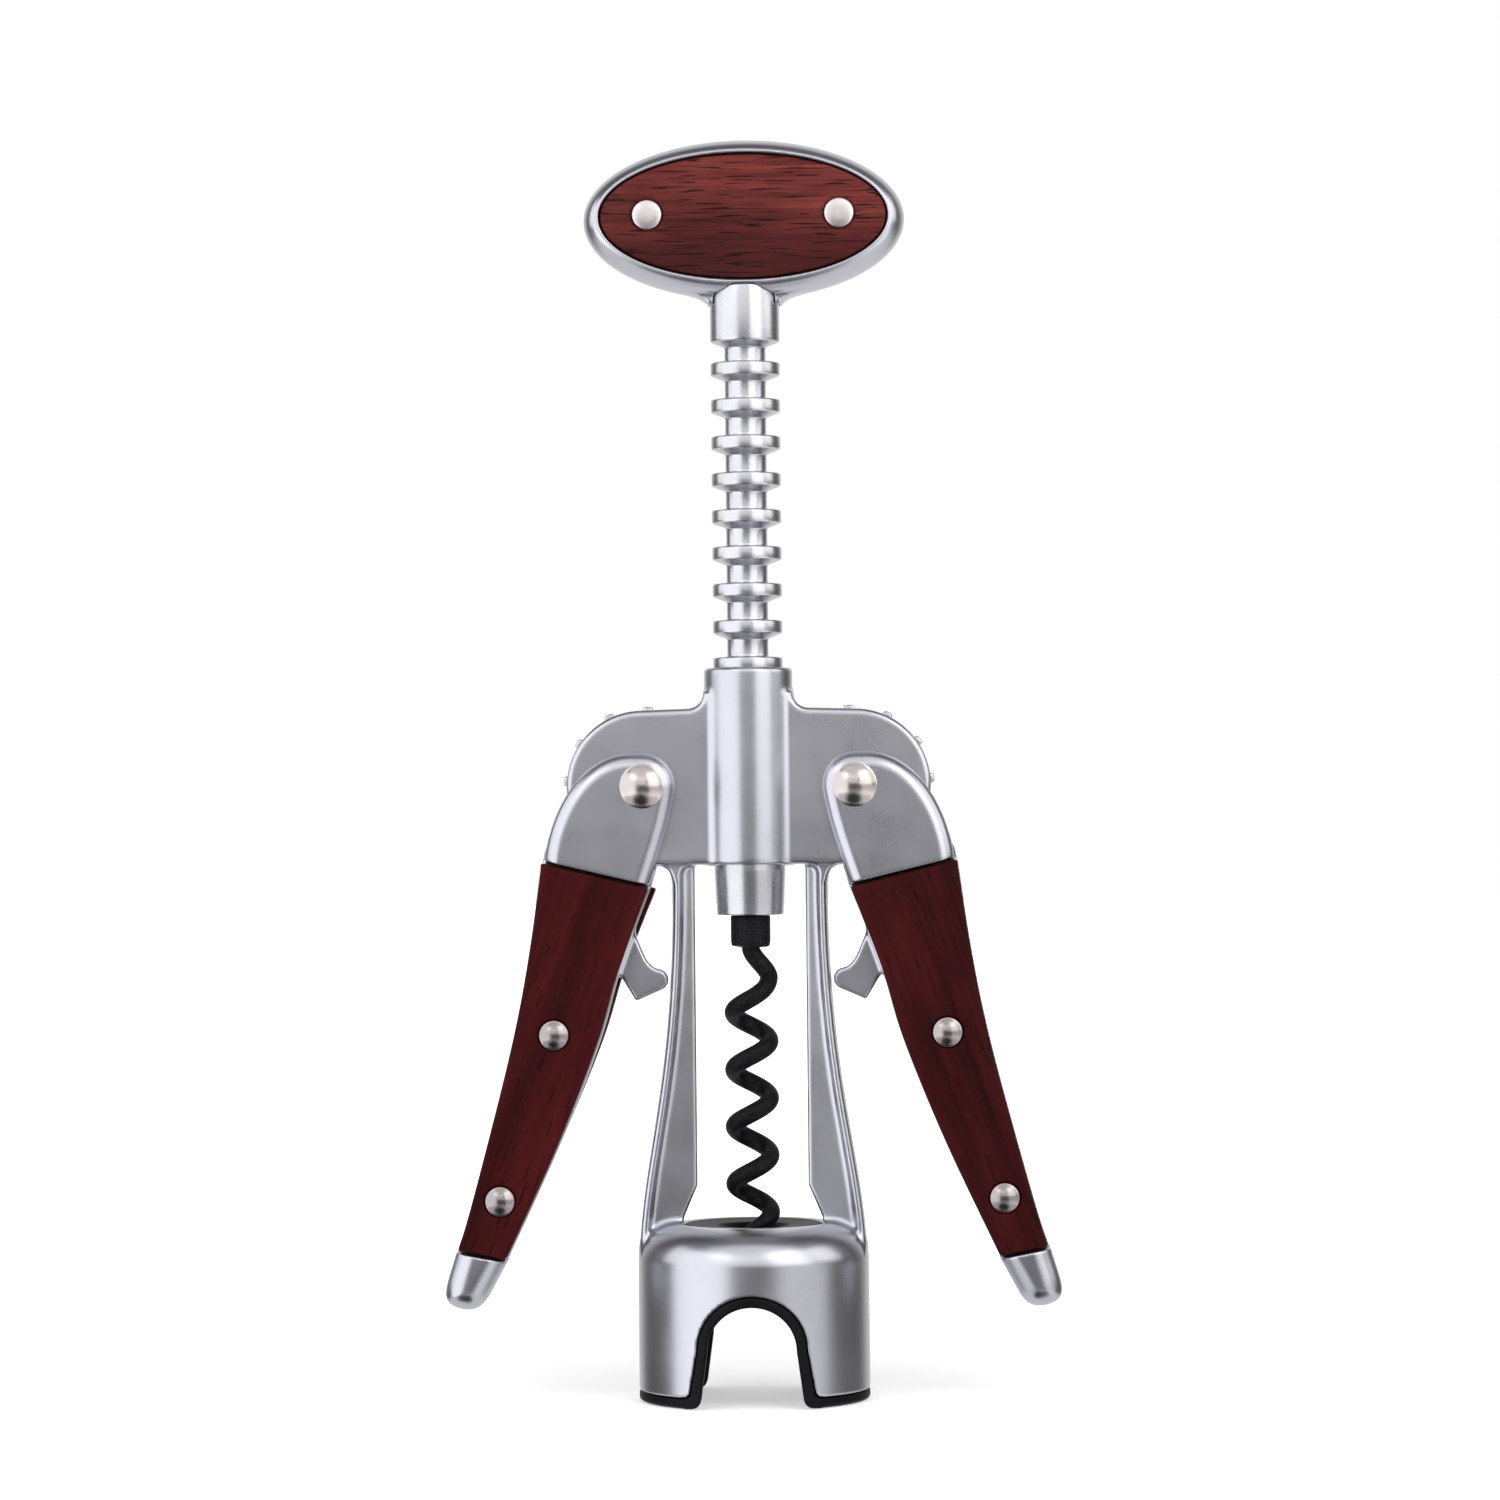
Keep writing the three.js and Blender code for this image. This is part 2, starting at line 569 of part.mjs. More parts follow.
function handleBody() {
  const faceHalf = 0.05;
  const rounded = new THREE.ExtrudeGeometry(ovalShape(HANDLE_RIM), {
    depth: 2 * faceHalf,
    curveSegments: OVAL_STEPS,
    bevelSize: HANDLE_RIM,
    bevelThickness: HANDLE_HALF_Y - faceHalf,
    bevelSegments: 4,
  });
  const body = solid(rounded.rotateX(Math.PI / 2).translate(0, faceHalf, 0));
  const recess = ovalShape(HANDLE_RIM, WOOD_Z);
  const frontRecess = plate(recess, -2 * HANDLE_HALF_Y, -HANDLE_CORE_HALF, 0, OVAL_STEPS);
  const backRecess = plate(recess, HANDLE_CORE_HALF, 2 * HANDLE_HALF_Y, 0, OVAL_STEPS);
  const skirts = [-1, 1].map((side) => plate(onSide(skirtShape(), side), -SKIRT_HALF, SKIRT_HALF));
  const socket = rodUp(RING_R + GAP, NECK_FOOT_Z, NECK_TOP_Z + GAP);
  const bore = rodUp(SPIGOT_R + GAP, NECK_FOOT_Z, SPIGOT_TOP_Z + GAP);
  const rivetHoles = [-1, 1].map((side) => (
    rodAcross(RIVET_R + GAP, HANDLE_HALF_Y, side * HANDLE_RIVET_X, HANDLE_RIVET_Z)
  ));
  const pinHole = rodAcross(CROSS_PIN_R + GAP, HANDLE_HALF_Y, 0, CROSS_PIN_Z);
  return without(joined([body, ...skirts]), [frontRecess, backRecess, socket, bore, ...rivetHoles, pinHole]);
}

function handleScale(face) {
  const near = face < 0 ? -HANDLE_SCALE_Y : HANDLE_CORE_HALF + GAP;
  const far = face < 0 ? -HANDLE_CORE_HALF - GAP : HANDLE_SCALE_Y;
  const holes = [-1, 1].map((side) => (
    rodAcross(RIVET_R + GAP, 2 * HANDLE_HALF_Y, side * HANDLE_RIVET_X, HANDLE_RIVET_Z)
  ));
  return without(plate(ovalShape(HANDLE_RIM + 0.2, WOOD_Z), near, far, 0.2, OVAL_STEPS), holes);
}

function handleCrossPin() {
  return rodAcross(CROSS_PIN_R, HANDLE_CORE_HALF - GAP, 0, CROSS_PIN_Z);
}

// ---- rack shaft, collar, hub and worm ---------------------------------------------------

// One ring of the rack, from its root below to its root above.
function ringProfile(z) {
  const low = z - RING_EDGE / 2;
  const high = z + RING_EDGE / 2;
  return [[RING_ROOT_R, low - RING_CONE], [RING_R, low], [RING_R, high], [RING_ROOT_R, high]];
}

function rackShaft() {
  const footZ = COLLAR_FOOT_Z + GAP;
  const rings = [];
  for (let ring = RING_COUNT - 1; ring >= 0; ring -= 1) {
    rings.push(...ringProfile(TOP_RING_Z - ring * RACK_PITCH));
  }
  const firstRoot = rings[0][1];
  const shaft = turned([
    [0, footZ],
    [SPIGOT_R, footZ],
    [SPIGOT_R, firstRoot],
    ...rings,
    [RING_ROOT_R, NECK_FOOT_Z - RING_CONE],
    [RING_R, NECK_FOOT_Z],
    [RING_R, NECK_TOP_Z],
    [SPIGOT_R, NECK_TOP_Z],
    [SPIGOT_R, SPIGOT_TOP_Z],
    [0, SPIGOT_TOP_Z],
  ], SHAFT_STEPS);
  const shankBore = rodUp(WIRE_R + GAP, footZ - 1, WORM_SHANK_TOP_Z + GAP);
  const pinHole = rodAcross(CROSS_PIN_R + GAP, HANDLE_HALF_Y, 0, CROSS_PIN_Z);
  return without(shaft, [shankBore, pinHole]);
}

function guideCollar() {
  const boreR = SPIGOT_R + RUN;
  return turned([
    [boreR, COLLAR_FOOT_Z],
    [COLLAR_FOOT_R, COLLAR_FOOT_Z],
    [COLLAR_TOP_R, BARREL_FOOT_Z - 1],
    [COLLAR_TOP_R, COLLAR_TOP_Z],
    [boreR, COLLAR_TOP_Z],
    [boreR, COLLAR_FOOT_Z],
  ], SHAFT_STEPS);
}

function wormHub() {
  const topZ = COLLAR_FOOT_Z - GAP;
  return without(rodUp(HUB_R, HUB_FOOT_Z, topZ), [rodUp(WIRE_R + GAP, HUB_FOOT_Z - 1, topZ + 1)]);
}

// The centre line of the wire: a straight shank, then a right-handed coil. Near the hub the
// coil turns more and more slowly, so that the wire leaves the hub in one easy bend.
class WormCurve extends THREE.Curve {
  getPoint(t, target = new THREE.Vector3()) {
    const z = THREE.MathUtils.lerp(WORM_SHANK_TOP_Z, WORM_END_Z, t);
    const opening = THREE.MathUtils.smoothstep(-z, -HUB_FOOT_Z, -WORM_START_Z);
    const above = THREE.MathUtils.clamp(z - EVEN_PITCH_Z, 0, STRAIGHTEN_LENGTH);
    const eased = above - above ** 3 / (3 * STRAIGHTEN_LENGTH ** 2);
    const angle = 2 * Math.PI * (Math.min(z, EVEN_PITCH_Z) + eased - WORM_CREST_Z) / WORM_PITCH;
    return target.set(WORM_R * opening * Math.cos(angle), WORM_R * opening * Math.sin(angle), z);
  }
}

function worm() {
  const path = new WormCurve();
  const wireShape = new THREE.Shape();
  wireShape.absarc(0, 0, WIRE_R, 0, 2 * Math.PI, false);
  const wire = solid(new THREE.ExtrudeGeometry(wireShape, { steps: WIRE_STEPS, curveSegments: 4, extrudePath: path }));
  const tangent = path.getTangent(1);
  const point = new THREE.ConeGeometry(WIRE_R * 0.98, WORM_POINT_LENGTH, 10);
  point.translate(0, WORM_POINT_LENGTH / 2 - 0.3, 0);
  point.applyQuaternion(new THREE.Quaternion().setFromUnitVectors(new THREE.Vector3(0, 1, 0), tangent));
  point.translate(...path.getPoint(1).toArray());
  return wire.add(solid(point));
}

// ---- assembly ---------------------------------------------------------------------------

const group = new THREE.Group();

function place(name, shape, material) {
  group.add(namedMesh(name, shape, material));
}

place('frame_casting', frameCasting(), satinMetal());
place('bottle_guide_liner', bottleGuideLiner(), blackPlastic());

for (const [word, side] of [['left', -1], ['right', 1]]) {
  place(`pivot_pin_${word}`, pivotPin(side), nickel());
  place(`lever_${word}_casting`, leverCasting(side), satinMetal());
  place(`lever_${word}_scale_front`, leverScale(side, -1), redWood());
  place(`lever_${word}_scale_back`, leverScale(side, 1), redWood());
  for (const spot of LEVER_RIVETS) {
    place(`lever_${word}_rivet_${spot.name}`, leverRivet(side, spot), nickel());
  }
  place(`handle_rivet_${word}`, handleRivet(side), nickel());
}

place('handle_body', handleBody(), satinMetal());
place('handle_scale_front', handleScale(-1), redWood());
place('handle_scale_back', handleScale(1), redWood());
place('handle_cross_pin', handleCrossPin(), nickel());
place('rack_shaft', rackShaft(), satinMetal());
place('guide_collar', guideCollar(), satinMetal());
place('worm_hub', wormHub(), blackPlastic());
place('worm', worm(), blackCoating());

export default group;
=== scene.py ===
"""The looks of a winged corkscrew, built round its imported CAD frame.

Sizes below are in millimetres and become metres when a mesh is made. Castings, wood and
the liner are shaped as distance fields and meshed with OpenVDB; turned pieces are profiles
spun round an axis; the worm is a ring of points swept along its coil.
"""

import json
import math

import bpy
import numpy as np
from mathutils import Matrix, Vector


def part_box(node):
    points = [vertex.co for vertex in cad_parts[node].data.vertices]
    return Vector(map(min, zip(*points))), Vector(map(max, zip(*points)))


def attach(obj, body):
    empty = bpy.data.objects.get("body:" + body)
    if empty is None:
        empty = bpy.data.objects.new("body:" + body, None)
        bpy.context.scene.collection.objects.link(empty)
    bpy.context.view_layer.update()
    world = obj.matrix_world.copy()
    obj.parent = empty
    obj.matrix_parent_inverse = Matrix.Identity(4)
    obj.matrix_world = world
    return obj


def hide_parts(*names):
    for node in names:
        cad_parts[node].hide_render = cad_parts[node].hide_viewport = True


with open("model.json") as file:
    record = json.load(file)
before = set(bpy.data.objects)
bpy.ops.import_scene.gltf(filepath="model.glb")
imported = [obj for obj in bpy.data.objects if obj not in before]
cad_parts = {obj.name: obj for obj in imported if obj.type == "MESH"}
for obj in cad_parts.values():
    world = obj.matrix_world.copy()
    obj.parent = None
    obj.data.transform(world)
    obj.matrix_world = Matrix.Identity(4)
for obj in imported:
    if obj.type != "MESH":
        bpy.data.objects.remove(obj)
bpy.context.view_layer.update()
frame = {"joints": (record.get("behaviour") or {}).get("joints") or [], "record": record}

import openvdb
from mathutils import Matrix, Vector

MM = 0.001


# ---- what the frame says ------------------------------------------------------------------


def box_mm(node):
    low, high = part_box(node)
    return low / MM, high / MM


def joint(name):
    return next(j for j in frame["joints"] if j["name"] == name)


PIVOT_X, _, PIVOT_Z = (v / MM for v in joint("lever_right_swing")["pos_m"])
CAST_LOW, CAST_HIGH = box_mm("frame_casting")
LINER_LOW, LINER_HIGH = box_mm("bottle_guide_liner")
COLLAR_LOW, COLLAR_HIGH = box_mm("guide_collar")
HUB_LOW, HUB_HIGH = box_mm("worm_hub")
SHAFT_LOW, SHAFT_HIGH = box_mm("rack_shaft")
HANDLE_LOW, HANDLE_HIGH = box_mm("handle_body")
LEVER_LOW, LEVER_HIGH = box_mm("lever_right_casting")

# ---- sizes of the casting -----------------------------------------------------------------

BELL_R = CAST_HIGH.y
BELL_FOOT_Z = CAST_LOW.z
BELL_TOP_Z = 27.5
BELL_WALL = 1.6
SHOULDER_R = 6.0
OPENING_R = 10.9
BARREL_TOP_Z = CAST_HIGH.z
BARREL_FOOT_Z = 83.4
BARREL_R = 6.86
BORE_R = 5.7
CHEEK_R = CAST_HIGH.x - PIVOT_X
CHEEK_HALF = 3.95
FLANGE_HALF = 3.7  # a little less than the cheeks, so that it ends cleanly under them
CHEEK_TOP_Z = 107.7
SLOT_HALF = 2.15
SLOT_R = 12.7
LEG_TOP_X = 12.3
LEG_FLANGE = 1.6
WEB_HALF = 1.3
WEB_INNER_X = 8.66
WEB_MIDDLE_X = 11.5
WEB_DRAFT = 0.13  # the web grows thicker towards the flange by this much per millimetre
PIN_HOLE_R = 2.1
METAL_ARCH = (8.5, 17.5, 9.6)  # crown radius, crown height, half width at the foot
LINER_ARCH = (6.85, 15.8, 7.8)

# ---- sizes of the levers ------------------------------------------------------------------

LEVER_HALF = LEVER_HIGH.y
CORE_HALF = 1.85
HEAD_INNER = 4.25
HEAD_R = 5.15
HEAD_CLEAR_R = 12.9
BARREL_CLEAR_R = 16.3
SCALE_FACE = 6.2
SCALE_INSET = 0.15
SCALE_SLIP = 0.9  # how far in the left lever's back scale sits at its top
SCALE_SLIP_FOOT_Z = 40.0
ARM_OUTER = [(32.5, 83), (34.1, 71.8), (36.1, 60.8), (38.9, 49), (43.9, 30.4), (46.0, 23.8)]
ARM_INNER = [(15.4, 80.2), (20.3, 67.2), (23.7, 55.8), (30.1, 39.8), (38.3, 22.2)]
HEAD_CUT = ((15.6, 80.3), (31.8, 84.2))  # the line across the arm where the wood starts
TIP_CUT = ((38.3, 22.0), (46.2, 23.6))  # and where it ends
RIVET_SPOTS = {"upper": (30.5, 57.2), "lower": (39.1, 31.5)}
TEETH_PER_TURN = 12
TEETH = 7
PITCH_R = 10.96
TOOTH_TIP_R = 12.4
TOOTH_ROOT_R = 9.6
FIRST_TOOTH_DEG = 184.2

# ---- sizes of the handle, shaft and worm --------------------------------------------------

HANDLE_HALF_X = 25.0
HANDLE_HALF_Z = 12.4
HANDLE_Z = HANDLE_HIGH.z - HANDLE_HALF_Z
HANDLE_HALF_Y = HANDLE_HIGH.y
HANDLE_RIM = 2.6
HANDLE_CORE = 3.3
HANDLE_SCALE_FACE = 5.2
HANDLE_RIVET_X = 14.9
HANDLE_RIVET_Z = 184.3
WOOD_Z = 184.0
RING_R = 5.4
RING_ROOT_R = 3.2
RING_EDGE = 2.0
RING_CONE = 0.85
RING_PITCH = 5.74
RING_COUNT = 13
TOP_RING_Z = 160.55
NECK_FOOT_Z = 164.8
NECK_TOP_Z = 173.5
SKIRT_HALF = 3.0
SPIGOT_R = 2.6
WIRE_R = 1.4
WORM_R = 2.8
WORM_PITCH = 8.9
WORM_CREST_Z = 55.8
WORM_START_Z = 65.6
EVEN_PITCH_Z = 60.25
STRAIGHTEN_LENGTH = 7.0


# ---- outlines -----------------------------------------------------------------------------


def arc(cx, cz, r, from_deg, to_deg, steps=24):
    turns = np.radians(np.linspace(from_deg, to_deg, steps + 1))
    return [(cx + r * math.cos(a), cz + r * math.sin(a)) for a in turns]


def bezier(p0, p1, p2, p3, steps=24):
    t = np.linspace(0, 1, steps + 1)[:, None]
    p0, p1, p2, p3 = (np.array(p, float) for p in (p0, p1, p2, p3))
    curve = (1 - t) ** 3 * p0 + 3 * (1 - t) ** 2 * t * p1 + 3 * (1 - t) * t**2 * p2 + t**3 * p3
    return [tuple(p) for p in curve]


def through(points, steps=10):
    """A Catmull-Rom curve through the points."""
    p = np.array([points[0], *points, points[-1]], float)
    t = np.linspace(0, 1, steps, endpoint=False)[:, None]
    out = []
    for a, b, c, d in zip(p, p[1:], p[2:], p[3:]):
        bend = (2 * a - 5 * b + 4 * c - d) * t**2 + (3 * b - a - 3 * c + d) * t**3
        out += [tuple(q) for q in 0.5 * (2 * b + (c - a) * t + bend)]
    return out + [tuple(points[-1])]


def shifted(points, dx):
    return [(x + dx, z) for x, z in points]


def leg_outer_edge():
    return bezier((LEG_TOP_X, 77.8), (LEG_TOP_X + 0.3, 47), (BELL_R, 36.5), (BELL_R, 20))


def arch_outline(arch, foot_z, corner, grow=0.0):
    """An arched doorway whose sides turn outwards in a round corner at its foot."""
    r, top, foot = arch
    crown = arc(0, top - r, r + grow, 180, 0, 40)
    left = arc(-foot - grow - corner, foot_z + corner, corner, -90, 0, 10)
    right = [(-x, z) for x, z in reversed(left)]
    return [(-foot - grow - corner, -3)] + left + crown + right + [(foot + grow + corner, -3)]


# ---- distance fields ----------------------------------------------------------------------


def smooth_min(a, b, k):
    near = np.maximum(k - np.abs(a - b), 0) / k
    return np.minimum(a, b) - near * near * k / 4


def smooth_max(a, b, k):
    return -smooth_min(-a, -b, k)


def rounded_both(a, b, r):
    """Inside both a and b, with the edge between them rounded to radius r."""
    outside = np.hypot(np.maximum(a + r, 0), np.maximum(b + r, 0))
    return outside + np.minimum(np.maximum(a + r, b + r), 0) - r


class Block:
    """Sample points in a box. A mirrored axis is sampled on its positive side only."""

    def __init__(self, low, high, step, mirror=""):
        self.step = step
        self.mirror = mirror
        starts = [0.0 if axis in mirror else low[i] for i, axis in enumerate("xyz")]
        axes = [np.arange(starts[i], high[i] + step, step, dtype=np.float32) for i in range(3)]
        self.x, self.y, self.z = axes
        self.start = starts
        self.x3 = self.x[:, None, None]
        self.y3 = self.y[None, :, None]
        self.z3 = self.z[None, None, :]

    def outline(self, points):
        """Signed distance to a closed outline in X and Z."""
        px, pz = np.meshgrid(self.x, self.z, indexing="ij")
        return polygon_distance(points, px, pz)[:, None, :]

    def turned(self, points):
        """Signed distance to a closed profile of radius and height, spun round Z."""
        reach = math.hypot(np.abs(self.x).max(), np.abs(self.y).max())
        radii = np.arange(0, reach + 2 * self.step, self.step / 2, dtype=np.float32)
        table = polygon_distance(points, *np.meshgrid(radii, self.z, indexing="ij"))
        at = np.hypot(self.x[:, None], self.y[None, :]) / (self.step / 2)
        low = np.floor(at).astype(int)
        share = (at - low)[:, :, None].astype(np.float32)
        return table[low] * (1 - share) + table[low + 1] * share

    def plate(self, points, half, r):
        return rounded_both(self.outline(points), np.abs(self.y3) - half, r)

    def rod_across(self, cx, cz, radius, half, r=0.01):
        return rounded_both(np.hypot(self.x3 - cx, self.z3 - cz) - radius, np.abs(self.y3) - half, r)

    def beyond(self, line, gap=0.0):
        """Distance past a line drawn from left to right: positive above it."""
        (ax, az), (bx, bz) = line
        length = math.hypot(bx - ax, bz - az)
        return ((self.z3 - az) * (bx - ax) - (self.x3 - ax) * (bz - az)) / length - gap


def polygon_distance(points, px, pz):
    nearest = np.full(px.shape, 1e9, np.float32)
    inside = np.zeros(px.shape, bool)
    for (ax, az), (bx, bz) in zip(points, points[1:] + points[:1]):
        ex, ez = bx - ax, bz - az
        length2 = ex * ex + ez * ez
        if length2 < 1e-12:
            continue
        wx, wz = px - ax, pz - az
        t = np.clip((wx * ex + wz * ez) / length2, 0, 1)
        nearest = np.minimum(nearest, (wx - ex * t) ** 2 + (wz - ez * t) ** 2)
        crosses = (az > pz) != (bz > pz)
        if ez:
            inside ^= crosses & (wx < wz * ex / ez)
    return np.where(inside, -1, 1).astype(np.float32) * np.sqrt(nearest)


# ---- meshes -------------------------------------------------------------------------------


def sample(field, at):
    """The field between its sample points, by trilinear weights; at is in sample steps."""
    at = np.clip(at, 0, np.array(field.shape) - 1.001)
    low = np.floor(at).astype(int)
    share = at - low
    total = 0
    for corner in np.ndindex(2, 2, 2):
        weight = np.prod(np.where(corner, share, 1 - share), axis=1)
        total = total + weight * field[tuple((low + corner).T)]
    return total


def slope(field, at, reach):
    steps = np.eye(3) * reach
    return np.stack([(sample(field, at + s) - sample(field, at - s)) / (2 * reach) for s in steps], axis=1)


def new_mesh(name, points_mm, faces, normals=None):
    """A mesh object from points in millimetres and faces that all have the same corner count."""
    faces = np.asarray(faces, np.int32)
    mesh = bpy.data.meshes.new(name)
    mesh.vertices.add(len(points_mm))
    mesh.vertices.foreach_set("co", np.asarray(points_mm * MM, np.float32).ravel())
    mesh.loops.add(faces.size)
    mesh.loops.foreach_set("vertex_index", faces.ravel())
    mesh.polygons.add(len(faces))
    mesh.polygons.foreach_set("loop_start", np.arange(0, faces.size, faces.shape[1], dtype=np.int32))
    mesh.update(calc_edges=True)
    mesh.shade_smooth()
    if normals is not None:
        mesh.normals_split_custom_set_from_vertices(normals)
    piece = bpy.data.objects.new(name, mesh)
    bpy.context.scene.collection.objects.link(piece)
    return piece


def mesh_from_field(name, block, field, side=1):
    """Meshes the zero surface of a field in millimetres; side -1 mirrors it in x = 0."""
    for i, axis in enumerate("xyz"):
        if axis in block.mirror:
            field = np.concatenate([np.flip(field, i)[tuple(slice(0, -1) if j == i else slice(None) for j in range(3))],
                                    field], axis=i)
    start = [-(len(a) - 1) * block.step if c in block.mirror else s
             for a, c, s in zip((block.x, block.y, block.z), "xyz", block.start)]
    field = np.ascontiguousarray(field, np.float32)
    band = 3 * block.step
    grid = openvdb.FloatGrid(band)
    grid.copyFromArray(np.clip(field, -band, band))
    at, quads = grid.convertToQuads(0.0)
    for _ in range(2):
        rise = slope(field, at, 0.5)
        size2 = np.maximum((rise**2).sum(1), 1e-6)
        move = -sample(field, at)[:, None] * rise / size2[:, None]
        at = at + np.clip(move, -0.4, 0.4)
    rise = slope(field, at, 0.7)
    normals = rise / np.maximum(np.linalg.norm(rise, axis=1, keepdims=True), 1e-9)
    points = at * block.step + np.array(start)
    a, b, c = (points[quads[:, i]] for i in range(3))
    facing = (np.cross(b - a, c - b) * normals[quads[:, 1]]).sum()
    if side < 0:
        points[:, 0] *= -1
        normals[:, 0] *= -1
    if (facing < 0) != (side < 0):
        quads = quads[:, ::-1]
    return new_mesh(name, points, quads, normals)


def spun(name, profile, steps, axis="z", centre=(0, 0, 0), sharp_deg=28):
    """A profile of radius and distance along the axis, from pole to pole or closed on itself."""
    profile = np.array(profile, float)
    closed = np.allclose(profile[0], profile[-1])
    if closed:
        profile = profile[:-1]
    poles = [] if closed else [0, len(profile) - 1]
    turns = np.arange(steps) * 2 * math.pi / steps
    points = []
    rows = []
    for i, (r, h) in enumerate(profile):
        ring = [(0, 0, h)] if i in poles else [(r * math.cos(a), r * math.sin(a), h) for a in turns]
        rows.append([len(points) + (k % len(ring)) for k in range(steps)])
        points += ring
    mesh = bpy.data.meshes.new(name)
    faces = []
    pairs = list(zip(rows, rows[1:] + rows[:1])) if closed else list(zip(rows, rows[1:]))
    for low, high in pairs:
        for k in range(steps):
            n = (k + 1) % steps
            face = [low[k], low[n], high[n], high[k]]
            faces.append([v for j, v in enumerate(face) if v not in face[:j]])
    mesh.from_pydata([Vector(p) * MM for p in points], [], faces)
    if axis == "y":
        mesh.transform(Matrix.Rotation(-math.pi / 2, 4, "X"))
    mesh.transform(Matrix.Translation(Vector(centre) * MM))
    mesh.update()
    mesh.shade_smooth()
    mesh.set_sharp_from_angle(angle=math.radians(sharp_deg))
    piece = bpy.data.objects.new(name, mesh)
    bpy.context.scene.collection.objects.link(piece)
    return piece


def eased(profile, bevel):
    """The profile with each inner corner replaced by a short two-step round."""
    out = [profile[0]]
    for before, here, after in zip(profile, profile[1:], profile[2:]):
        before, here, after = (np.array(p, float) for p in (before, here, after))
        back, on = before - here, after - here
        reach = min(bevel, np.linalg.norm(back) * 0.45, np.linalg.norm(on) * 0.45)
        start = here + back / np.linalg.norm(back) * reach
        end = here + on / np.linalg.norm(on) * reach
        for t in (0, 0.33, 0.67, 1):
            out.append(tuple((1 - t) ** 2 * start + 2 * t * (1 - t) * here + t * t * end))
    return out + [profile[-1]]


# ---- materials ----------------------------------------------------------------------------


class Nodes:
    """A short way to write a node material."""

    def __init__(self, name):
        self.material = bpy.data.materials.new(name)
        self.material.use_nodes = True
        self.tree = self.material.node_tree
        self.shader = self.tree.nodes["Principled BSDF"]

    def add(self, kind, inputs=None, **settings):
        node = self.tree.nodes.new(kind)
        for key, value in settings.items():
            setattr(node, key, value)
        for key, value in (inputs or {}).items():
            self.put(node, key, value)
        return node

    def put(self, node, key, value):
        if isinstance(value, bpy.types.NodeSocket):
            self.tree.links.new(value, node.inputs[key])
        else:
            node.inputs[key].default_value = value

    def place(self, scale=(1, 1, 1), turn=(0, 0, 0)):
        """Object coordinates in millimetres, turned and then stretched."""
        where = self.add("ShaderNodeTexCoord").outputs["Object"]
        in_mm = tuple(s / MM for s in scale)
        turned = self.add("ShaderNodeMapping", {"Vector": where, "Rotation": turn})
        return self.add("ShaderNodeMapping", {"Vector": turned.outputs[0], "Scale": in_mm}).outputs[0]

    def noise(self, where, scale, detail=3.0, rough=0.55):
        inputs = {"Vector": where, "Scale": scale, "Detail": detail, "Roughness": rough}
        return self.add("ShaderNodeTexNoise", inputs).outputs["Fac"]

    def ramp(self, value, stops, kind="LINEAR"):
        node = self.add("ShaderNodeValToRGB", {"Fac": value})
        node.color_ramp.interpolation = kind
        node.color_ramp.elements[0].position = stops[0][0]
        node.color_ramp.elements[1].position = stops[-1][0]
        for at, _ in stops[1:-1]:
            node.color_ramp.elements.new(at)
        for element, (_, colour) in zip(node.color_ramp.elements, stops):
            element.color = colour if len(colour) == 4 else (*colour, 1)
        return node.outputs["Color"]

    def span(self, value, low, high, out_low, out_high):
        inputs = {"Value": value, "From Min": low, "From Max": high, "To Min": out_low, "To Max": out_high}
        return self.add("ShaderNodeMapRange", inputs).outputs["Result"]

    def mix(self, share, a, b, blend="MIX"):
        node = self.add("ShaderNodeMix", data_type="RGBA", blend_type=blend)
        self.put(node, 0, share)
        self.put(node, 6, a if isinstance(a, bpy.types.NodeSocket) else (*a, 1))
        self.put(node, 7, b if isinstance(b, bpy.types.NodeSocket) else (*b, 1))
        return node.outputs[2]

    def maths(self, operation, a, b=0.0):
        node = self.add("ShaderNodeMath", operation=operation)
        self.put(node, 0, a)
        self.put(node, 1, b)
        return node.outputs[0]

    def bump(self, height, depth_mm, strength=1.0, before=None):
        inputs = {"Height": height, "Distance": depth_mm * MM, "Strength": strength}
        if before is not None:
            inputs["Normal"] = before
        return self.add("ShaderNodeBump", inputs).outputs["Normal"]

    def finish(self, **inputs):
        for key, value in inputs.items():
            self.put(self.shader, key.replace("_", " "), value)
        return self.material


def satin_cast_metal():
    """Zinc casting with a satin nickel finish: fine grain, faint brushing and soft clouds."""
    n = Nodes("satin_cast_metal")
    place = n.place()
    clouds = n.noise(place, 0.09, 4)
    grain = n.noise(place, 7.0, 2)
    brushed = n.noise(n.place((6.0, 6.0, 0.35)), 1.0, 3)
    colour = n.mix(n.span(clouds, 0.3, 0.7, 0, 1), (0.515, 0.515, 0.562), (0.575, 0.575, 0.627))
    rough = n.maths("ADD", n.span(clouds, 0.3, 0.7, 0.27, 0.33), n.span(grain, 0.3, 0.7, -0.02, 0.03))
    normal = n.bump(brushed, 0.004, 0.35, n.bump(grain, 0.006, 0.4))
    return n.finish(Base_Color=colour, Metallic=1.0, Roughness=rough, Normal=normal)


def turned_metal():
    """The same finish on turned pieces, with fine rings left by the tool."""
    n = Nodes("turned_metal")
    place = n.place()
    clouds = n.noise(place, 0.12, 3)
    rings = n.noise(n.place((0.06, 0.06, 9.0)), 1.0, 3)
    grain = n.noise(place, 8.0, 2)
    colour = n.mix(n.span(clouds, 0.3, 0.7, 0, 1), (0.55, 0.55, 0.585), (0.60, 0.60, 0.635))
    rough = n.maths("ADD", n.span(rings, 0.3, 0.7, 0.26, 0.28), n.span(grain, 0.3, 0.7, -0.02, 0.02))
    normal = n.bump(rings, 0.006, 0.03, n.bump(grain, 0.004, 0.3))
    return n.finish(Base_Color=colour, Metallic=1.0, Roughness=rough, Normal=normal)


